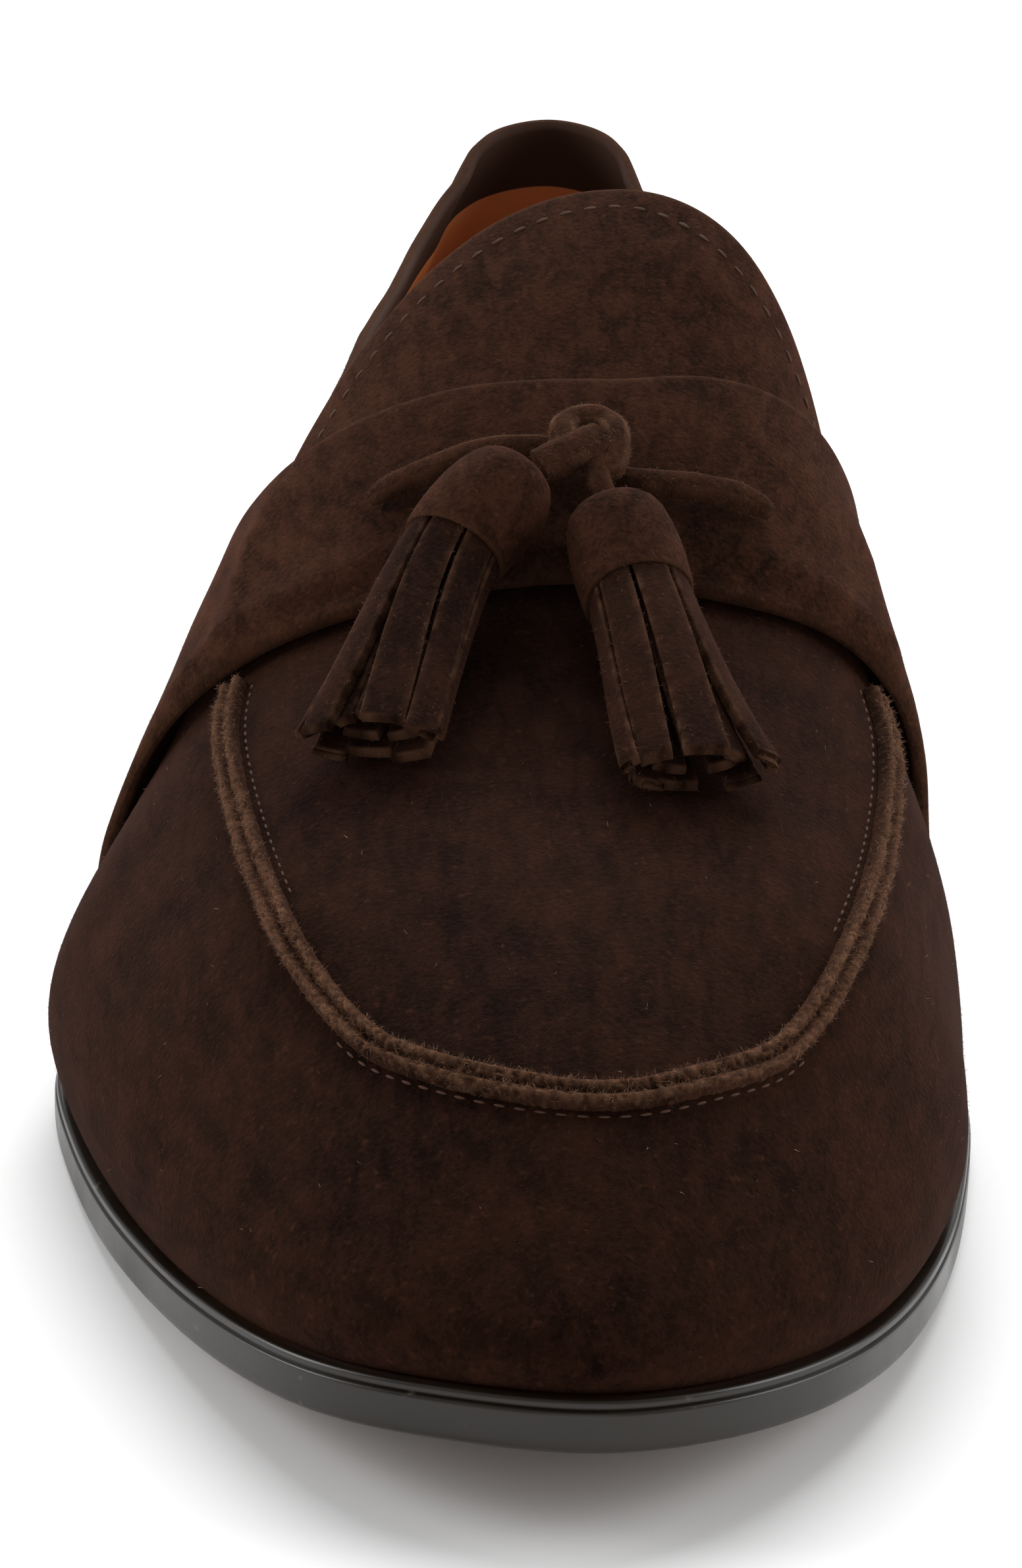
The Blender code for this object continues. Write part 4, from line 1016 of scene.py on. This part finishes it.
for place, onward in zip(tongue_edge, np.gradient(tongue_edge, axis=0)):
    near = np.linalg.norm(tongue_flat - place, axis=1).argmin()
    inward = np.cross(tongue_normals[near], onward)
    place = place + unit(inward * np.sign(np.dot(inward, tongue_heart - place))) * TONGUE_STITCH_INSET
    near = np.linalg.norm(tongue_flat - place, axis=1).argmin()
    tongue_row.append(place - tongue_normals[near] * np.dot(place - tongue_face[near], tongue_normals[near]))
tongue_row = np.array(tongue_row)
for _ in range(TONGUE_STITCH_SMOOTHING):
    tongue_row[1:-1] = 0.25 * tongue_row[:-2] + 0.5 * tongue_row[1:-1] + 0.25 * tongue_row[2:]
tongue_stitch = {"Pitch": TONGUE_STITCH_PITCH, "Length": TONGUE_STITCH_LENGTH, "Thread": TONGUE_THREAD}
grown_piece(
    "tongue_stitches",
    stitches,
    guide_mesh(tongue_row),
    {**tongue_stitch, "Material": thread("tongue_thread", "4f392b")},
    "suede_edge",
)

# The saddle is a strap of suede sewn in under the sole at both sides and laid over the instep. Its front
# and rear edges are folded, and the raised seam shows through it as a soft swelling.
SADDLE_THICKNESS, SADDLE_GAP = 0.0018, 0.0005
SADDLE_REACH, SADDLE_RAMP, SADDLE_CLIMB, SADDLE_SHOULDER, SADDLE_FALL = 0.965, 0.025, 0.9, 0.53, 0.25
SWELLING, SWELLING_WIDTH, SWELLING_END, SWELLING_FADE = 0.0008, 0.028, 0.455, 0.03
SADDLE_WAVE, SADDLE_WAVE_SIZE, SADDLE_ACROSS, SADDLE_OUT = 0.00018, 0.012, 321, 44
SADDLE = columns(
    ("across", "front", "rear"),
    [
        (-1.00, 0.395, 0.500), (-0.75, 0.378, 0.480), (-0.50, 0.366, 0.458), (-0.25, 0.360, 0.449),
        (0.00, 0.363, 0.447), (0.25, 0.360, 0.455), (0.50, 0.368, 0.470), (0.75, 0.380, 0.485),
        (1.00, 0.395, 0.500),
    ],
)


def saddle_lift(along, across):
    """How far the saddle's inner face stands off the upper: more where the tongue lies between them."""
    ramp = np.clip((along / SOLE_LENGTH - TONGUE_ROOT + SADDLE_RAMP) / (SADDLE_CLIMB * SADDLE_RAMP), 0, 1)
    beside = np.clip((np.abs(across) - SADDLE_SHOULDER) / SADDLE_FALL, 0, 1)
    over = (3 * ramp**2 - 2 * ramp**3) * (1 - 3 * beside**2 + 2 * beside**3)
    return SADDLE_GAP + (TONGUE_GAP + TONGUE_THICKNESS) * over


saddle_across = np.linspace(-1, 1, SADDLE_ACROSS)
saddle_out = fine_ends(SADDLE_OUT, 2.2)
saddle_front = through(SADDLE["across"], SADDLE["front"])(saddle_across)
saddle_rear = through(SADDLE["across"], SADDLE["rear"])(saddle_across)
saddle_width = (saddle_rear - saddle_front)[None, :]
saddle_along = SOLE_LENGTH * (saddle_front[None, :] + saddle_width * saddle_out[:, None])
saddle_side = np.where(saddle_across < 0, -1, 1)[None, :]
saddle_climb = np.broadcast_to(1 - np.abs(saddle_across) * SADDLE_REACH, saddle_along.shape)
saddle_grid = last_points(saddle_side, saddle_along, saddle_climb)
saddle_flat = saddle_grid.reshape(-1, 3)
saddle_faces = grid_faces(*saddle_grid.shape[:2])
to_front = np.linalg.norm(saddle_grid - saddle_grid[:1], axis=-1)
to_rear = np.linalg.norm(saddle_grid - saddle_grid[-1:], axis=-1)
saddle_edge = np.minimum(to_front, to_rear).reshape(-1)
saddle_full = folded(saddle_edge, SADDLE_THICKNESS)
swelling = np.exp(-(((saddle_climb - seam_climb(saddle_side, saddle_along)) / SWELLING_WIDTH) ** 2))
swelling *= np.clip((SWELLING_END - saddle_along / SOLE_LENGTH) / SWELLING_FADE, 0, 1)
saddle_mid = saddle_lift(saddle_along, saddle_across[None, :]).reshape(-1) + 0.5 * SADDLE_THICKNESS
saddle_outer = saddle_mid + 0.5 * SADDLE_THICKNESS * saddle_full
saddle_outer += SADDLE_WAVE * waviness(saddle_flat, SADDLE_WAVE_SIZE, 21.0)
saddle_outer += SWELLING * swelling.reshape(-1) * saddle_full
sheet_piece(
    "saddle_suede",
    saddle_flat,
    saddle_faces,
    saddle_outer,
    saddle_mid - 0.5 * SADDLE_THICKNESS * saddle_full,
    [lit_suede],
    ["saddle"],
    {"worn": 0.10 * np.clip(1 - saddle_edge / FOLD_WEAR, 0, 1)},
)
saddle_skin = saddle_flat + normals_of(saddle_flat, saddle_faces) * saddle_outer[:, None]
nap("saddle_nap", saddle_skin, saddle_faces, FLAT_NAP, 7)

# The lace is a round thong of suede about 3 mm thick. It comes up through a slit in the saddle at one
# side, passes under the knot and goes down through the slit at the other side.
LACE_WIDTH, LACE_HEIGHT, LACE_COUNT, SURFACE_STEP = 0.0032, 0.0028, 120, 0.004
THONG_SIDES, THONG_SQUARE, THONG_UNEVEN, THONG_UNEVEN_SIZE = 28, 2.6, 0.05, 0.0022
THONG_WORN, THONG_EDGE_WORN, THONG_EDGE, MOST_WORN = 0.04, 0.22, 0.55, 0.8
STACK = TONGUE_GAP + TONGUE_THICKNESS + SADDLE_GAP + SADDLE_THICKNESS
LACE = columns(
    ("along", "across", "lift", "girth"),
    [
        (0.4045, -0.285, 0.12, 0.55), (0.4050, -0.265, 0.14, 0.85), (0.4075, -0.220, 0.16, 1.00),
        (0.4125, -0.130, 0.18, 1.00), (0.4120, -0.060, 0.16, 0.92), (0.4040, 0.010, 0.14, 0.88),
        (0.3990, 0.070, 0.14, 0.95), (0.3985, 0.150, 0.20, 1.00), (0.3985, 0.240, 0.18, 1.00),
        (0.3975, 0.280, 0.14, 0.85), (0.3970, 0.300, 0.12, 0.55),
    ],
)


def over_last(along, across, lift):
    """Points that far off the last, each with the last's outward direction there."""
    side = np.where(across < 0, -1, 1)

    def place(share, turned):
        return last_points(side, share * SOLE_LENGTH, 1 - np.abs(turned))

    forward = place(along + SURFACE_STEP, across) - place(along - SURFACE_STEP, across)
    sideways = place(along, across + side * SURFACE_STEP) - place(along, across)
    outward = np.cross(forward, sideways * side[:, None])
    outward *= np.sign(outward[:, 2:3]) / np.linalg.norm(outward, axis=1)[:, None]
    return place(along, across) + outward * lift[:, None], outward


def smooth_line(table, count, height):
    """Points on the smooth line through a table's rows, and outward directions."""
    rows = np.arange(len(table["along"]))
    knots, outward = over_last(table["along"], table["across"], height)
    at = np.linspace(0, len(rows) - 1, count)
    line = np.column_stack([through(rows, knots[:, k])(at) for k in range(3)])
    return line, np.column_stack([through(rows, outward[:, k])(at) for k in range(3)])


def directions(line, upward):
    """Unit directions ahead, across and up along a line."""
    forward = unit(np.gradient(line, axis=0))
    sideways = unit(np.cross(forward, upward))
    return forward, sideways, np.cross(sideways, forward)


def thong(name, line, upward, width, height, seed, replaced=(), wear=1.0):
    """A suede thong along a line, squarish in section, with paler edges and a little unevenness."""
    _, sideways, up = directions(line, upward)
    turned = np.arange(THONG_SIDES) * 2 * math.pi / THONG_SIDES
    cosine, sine = np.cos(turned), np.sin(turned)
    square = 1 / (np.abs(cosine) ** THONG_SQUARE + np.abs(sine) ** THONG_SQUARE) ** (1 / THONG_SQUARE)
    width, height = np.broadcast_to(width, len(line)), np.broadcast_to(height, len(line))
    out = 0.5 * (width[:, None] * (cosine * square)[None, :])[..., None] * sideways[:, None, :]
    out = out + 0.5 * (height[:, None] * (sine * square)[None, :])[..., None] * up[:, None, :]
    rings = line[:, None, :] + out
    uneven = waviness(rings.reshape(-1, 3), THONG_UNEVEN_SIZE, seed).reshape(rings.shape[:2])
    rings += (rings - line[:, None, :]) * THONG_UNEVEN * uneven[..., None]
    edge = (np.abs(cosine) > THONG_EDGE)[None, :]
    worn = wear * (THONG_WORN + THONG_EDGE_WORN * edge * (0.5 + uneven))
    return swept_piece(name, rings, [lit_suede], replaced, {"worn": np.clip(worn, 0, MOST_WORN)})


lace_rows = np.arange(len(LACE["girth"]))
lace_lift = STACK + GAP + (LACE["lift"] + 0.5 * LACE["girth"]) * LACE_HEIGHT
lace_line, lace_up = smooth_line(LACE, LACE_COUNT, lace_lift)
lace_girth = through(lace_rows, LACE["girth"])(np.linspace(0, lace_rows[-1], LACE_COUNT))
lace = thong(
    "lace_thong",
    lace_line,
    lace_up,
    lace_girth * LACE_WIDTH,
    lace_girth * LACE_HEIGHT,
    31.0,
    ["lace"],
)

# The knot is the doubled end of the tassels' own thong: its loop goes round the lace and back through
# itself, and two short stems run from it into the tassels' caps.
STEM_WIDTH, STEM_HEIGHT = 0.0030, 0.00276
LOOP = columns(
    ("along", "across", "lift"),
    [
        (0.3990, -0.012, 1.90), (0.4050, -0.038, 1.85), (0.4125, -0.047, 1.70), (0.4185, -0.035, 1.35),
        (0.4205, -0.008, 1.25), (0.4180, 0.018, 1.35), (0.4110, 0.036, 1.75), (0.4030, 0.038, 1.90),
        (0.3955, 0.028, 1.90), (0.3950, 0.005, 1.90),
    ],
)
LEFT_STEM = columns(
    ("along", "across", "lift"),
    [(0.4070, 0.008, 1.95), (0.4020, -0.018, 2.15), (0.3968, -0.044, 2.25), (0.3925, -0.072, 2.15)],
)
RIGHT_STEM = columns(
    ("along", "across", "lift"),
    [(0.4010, -0.004, 2.00), (0.3925, 0.000, 1.95), (0.3850, 0.006, 1.90), (0.3780, 0.016, 1.85)],
)
knot_pieces = []
for name, table, count, wide, wear, seed in (
    ("knot_loop", LOOP, 90, 1.0, 2.2, 41.0),
    ("knot_left_stem", LEFT_STEM, 30, 1.6, 1.0, 43.0),
    ("knot_right_stem", RIGHT_STEM, 30, 0.95, 1.0, 47.0),
):
    knot_line, knot_up = smooth_line(table, count, STACK + table["lift"] * STEM_WIDTH)
    knot_pieces.append(
        thong(name, knot_line, knot_up, wide * STEM_WIDTH, STEM_HEIGHT, seed, ["knot"], wear)
    )

# Each tassel is a strip of suede cut into a fringe, rolled up tightly round the thong's end, and glued
# into a cap of the same suede, whose hem stands a little proud of the fringe. The cap takes the lighter copy
# of the suede and the fringe the darker one, as painted light and painted shade.
TASSEL_LENGTH, CAP_WIDTH, STRIP_THICKNESS = 0.045, 0.0122, 0.0014
CAP_SIDES, CAP_FLATNESS, CAP_UNEVEN, CAP_UNEVEN_SIZE, CAP_HEM, HEM_WIDTH = 72, 0.95, 0.03, 0.005, 0.303, 0.006
FRINGE_START, STRIP_DRIFT, STRIP_BOW, STRIP_NARROWING = 0.25, 0.03, 0.05, 0.12
CUT_WEAR, CUT_WEAR_SIZE, CUT_WORN, HEM_WORN, STRIP_EDGE = 0.0004, 0.0015, 0.34, 0.15, 0.65
STRIP_DOWN, STRIP_OVER, LINE_COUNT = 38, 8, 160
LEFT_TASSEL = columns(
    ("along", "across", "lift"), [(0.3915, -0.090, 0.930), (0.3514, -0.169, 0.700), (0.2545, -0.277, 0.300)]
)
RIGHT_TASSEL = columns(
    ("along", "across", "lift"), [(0.3750, 0.024, 0.850), (0.3356, 0.066, 0.560), (0.2301, 0.163, 0.300)]
)
CAP = columns(
    ("run", "size"),
    [
        (0.000, 0.02), (0.001, 0.26), (0.004, 0.44), (0.010, 0.58), (0.020, 0.71), (0.038, 0.84),
        (0.065, 0.94), (0.105, 1.01), (0.155, 1.05), (0.210, 1.06), (0.262, 1.045), (0.290, 1.035),
        (0.300, 1.02), (0.304, 0.985), (0.303, 0.94), (0.294, 0.91), (0.270, 0.89),
    ],
)
FRINGE = columns(
    ("run", "wide", "high"),
    [
        (0.250, 0.90, 0.86), (0.304, 0.95, 0.90), (0.450, 1.03, 0.87),
        (0.640, 1.15, 0.77), (0.820, 1.28, 0.64), (1.000, 1.42, 0.53),
    ],
)
STRIPS = columns(
    ("turn", "half", "end", "sink", "curl"),
    [
        (0.030, 0.046, 0.98, 0.0, 0.00), (0.145, 0.056, 1.00, 0.0, 0.02), (0.272, 0.058, 0.97, 0.0, 0.00),
        (0.400, 0.057, 1.00, 0.0, -0.02), (0.520, 0.050, 0.96, 0.0, 0.00), (0.640, 0.056, 0.99, 0.0, 0.00),
        (0.768, 0.058, 0.96, 0.0, 0.00), (0.896, 0.057, 1.00, 0.0, 0.00),
        (0.090, 0.070, 0.93, 0.34, 0.00), (0.260, 0.085, 0.92, 0.34, 0.00), (0.440, 0.070, 0.94, 0.34, 0.00),
        (0.620, 0.085, 0.92, 0.34, 0.00), (0.830, 0.085, 0.92, 0.34, 0.00),
    ],
)


class TasselLine:
    """A tassel's middle line, read by its run from the cap's top as a share of the tassel's length."""

    def __init__(self, table):
        self.line, upward = smooth_line(table, LINE_COUNT, table["lift"] * CAP_WIDTH)
        self.run = run_along(self.line)
        _, self.across, self.up = directions(self.line, upward)

    def place(self, run, wide, high):
        """Points at arrays of runs, that far across and up, in metres."""
        middle, across, up = [
            points_at(run * TASSEL_LENGTH, self.run, rows) for rows in (self.line, self.across, self.up)
        ]
        return middle + across * wide[..., None] + up * high[..., None]


def tassel_cap(name, middle, node, seed):
    """The cap: a round sleeve that closes at its top and turns in at its hem, which is a little worn."""
    turned = np.arange(CAP_SIDES) * 2 * math.pi / CAP_SIDES
    run = np.repeat(CAP["run"][:, None], CAP_SIDES, axis=1)
    size = 0.5 * CAP_WIDTH * CAP["size"][:, None]
    rings = middle.place(run, size * np.cos(turned)[None, :], CAP_FLATNESS * size * np.sin(turned)[None, :])
    uneven = waviness(rings.reshape(-1, 3), CAP_UNEVEN_SIZE, seed).reshape(run.shape)
    rings = rings + (rings - middle.place(run, 0 * run, 0 * run)) * CAP_UNEVEN * uneven[..., None]
    worn = HEM_WORN * np.exp(-(((CAP["run"][:, None] - CAP_HEM) / HEM_WIDTH) ** 2)) * (1 + uneven)
    return swept_piece(name, rings, [lit_suede], [node], {"worn": worn})


def tassel_fringe(name, middle, node, seed):
    """All the strips of one fringe, each a bent sheet with rounded edges."""
    wide_at, high_at = through(FRINGE["run"], FRINGE["wide"]), through(FRINGE["run"], FRINGE["high"])
    down = 1 - fine_ends(STRIP_DOWN, 0.7)[::-1]
    over = 2 * fine_ends(STRIP_OVER, 2.0) - 1
    depth = 0.5 * STRIP_THICKNESS
    points, faces, full, worn, count = [], [], [], [], 0
    for k, (turned, half, end, sink, curl) in enumerate(zip(*STRIPS.values())):
        run = (FRINGE_START + end * (1 - FRINGE_START) * down)[:, None]
        spread = half * (1.0 - STRIP_NARROWING * (run - 0.3))
        drift = STRIP_DRIFT * math.sin(seed + 2.1 * k) * np.clip((run - 0.35) / 0.65, 0, 1) ** 2
        angle = 2 * math.pi * (turned + drift + spread * over[None, :])
        bow = STRIP_BOW * np.sin(seed * 1.7 + 1.3 * k + 5 * run) + curl * run**3 * 3
        lift = (1 - sink - bow * np.clip((run - 0.3) / 0.7, 0, 1)) * 0.5 * CAP_WIDTH
        x = (lift * wide_at(run) - depth) * np.cos(angle)
        z = (lift * high_at(run) - depth) * np.sin(angle)
        grid = middle.place(np.repeat(run, len(over), axis=1), x, z)
        rim = rim_distance(grid).reshape(-1)
        points.append(grid.reshape(-1, 3))
        faces.append(grid_faces(*grid.shape[:2]) + count)
        full.append(STRIP_EDGE + (1 - STRIP_EDGE) * folded(rim, depth))
        worn.append(CUT_WORN * np.clip(1 - rim / CUT_WEAR, 0, 1))
        count += rim.size
    points, faces, full, worn = [np.concatenate(parts) for parts in (points, faces, full, worn)]
    worn = np.clip(worn * (0.6 + 1.4 * waviness(points, CUT_WEAR_SIZE, seed)), 0, 0.7)
    marks = {"worn": worn}
    return sheet_piece(name, points, faces, depth * full, -depth * full, [shaded_suede], [node], marks)


tassel_pieces = []
for which, table, seed in (("left", LEFT_TASSEL, 3.0), ("right", RIGHT_TASSEL, 8.0)):
    middle = TasselLine(table)
    tassel_pieces.append(tassel_cap("tassel_cap_" + which, middle, "tassel_" + which, seed))
    tassel_pieces.append(tassel_fringe("tassel_fringe_" + which, middle, "tassel_" + which, seed))

# A thin fuzz stands on the thong, the knot and the tassels, thicker where their nap is worn. It is grown
# on copies of their meshes and hangs from the shoe's root like them.
FUZZ_LENGTH, FUZZ_WIDTH, LACE_FUZZ, KNOT_FUZZ, TASSEL_FUZZ = 0.00045, 0.00002, 6e6, 9e6, 2.5e6


def fuzz_of(piece, density, seed, slot, name=None):
    """A fuzz over a piece, as a piece of its own."""
    guide = piece.data.copy()
    spread = guide.attributes.new("fuzz", "FLOAT", "POINT")
    worn = np.empty(len(guide.vertices), np.float32)
    guide.attributes["worn"].data.foreach_get("value", worn)
    spread.data.foreach_set("value", np.clip(0.15 + 2.5 * worn, 0, 1))
    values = {"Density": density, "Length": FUZZ_LENGTH, "Width": FUZZ_WIDTH, "Seed": seed}
    return grown_piece(name or piece.name + "_fuzz", fibres, guide, {**values, "Material": seam_fibre}, slot)


lace_fuzz = fuzz_of(lace, LACE_FUZZ, 11, "suede", "lace_fuzz")
knot_fuzz = [fuzz_of(piece, KNOT_FUZZ, 13, "suede_edge") for piece in knot_pieces]
tassel_fuzz = [fuzz_of(piece, TASSEL_FUZZ, 17, "suede") for piece in tassel_pieces]

# The studio: a seamless white floor, with soft light from above and behind, a panel at each side and a
# low card in front that lifts the toe.
FLOOR_REACH, AIM, WORLD_LIGHT = 6, (0, 0, 0.04), 0.31
corners = [(x * FLOOR_REACH, y * FLOOR_REACH, 0) for x, y in ((-1, -1), (1, -1), (1, 1), (-1, 1))]
stage_mesh = bpy.data.meshes.new("floor")
stage_mesh.from_pydata(corners, [], [(0, 1, 2, 3)])
floor = bpy.data.objects.new("floor", stage_mesh)
bpy.context.scene.collection.objects.link(floor)
paper = new_material("matt_white_paper")[0]
surfaced(paper, {"Base Color": colour("fafafa"), "Roughness": 0.95, "Specular IOR Level": 0.0})
stage_mesh.materials.append(paper)

world = bpy.data.worlds.new("studio")
world.use_nodes = True
backdrop = world.node_tree.nodes["Background"]
backdrop.inputs["Color"].default_value = colour("ffffff")
backdrop.inputs["Strength"].default_value = WORLD_LIGHT
bpy.context.scene.world = world
bpy.context.scene.view_settings.view_transform = "Standard"
for name, kind, place, size, power in (
    ("sky_light", "SUN", (0.05, 0.80, 1.0), math.radians(50), 3.0),
    ("left_light", "AREA", (-0.8, 0.05, 0.38), 0.5, 4.6),
    ("right_light", "AREA", (0.8, 0.05, 0.35), 0.5, 4.2),
    ("front_card", "AREA", (0.05, -0.9, 0.12), 0.5, 0.6),
):
    light = bpy.data.lights.new(name, kind)
    if kind == "SUN":
        light.angle = size
    else:
        light.size = size
    light.energy = power
    lamp = bpy.data.objects.new(name, light)
    bpy.context.scene.collection.objects.link(lamp)
    lamp.location = place
    lamp.rotation_euler = (Vector(AIM) - Vector(place)).to_track_quat("-Z", "Y").to_euler()
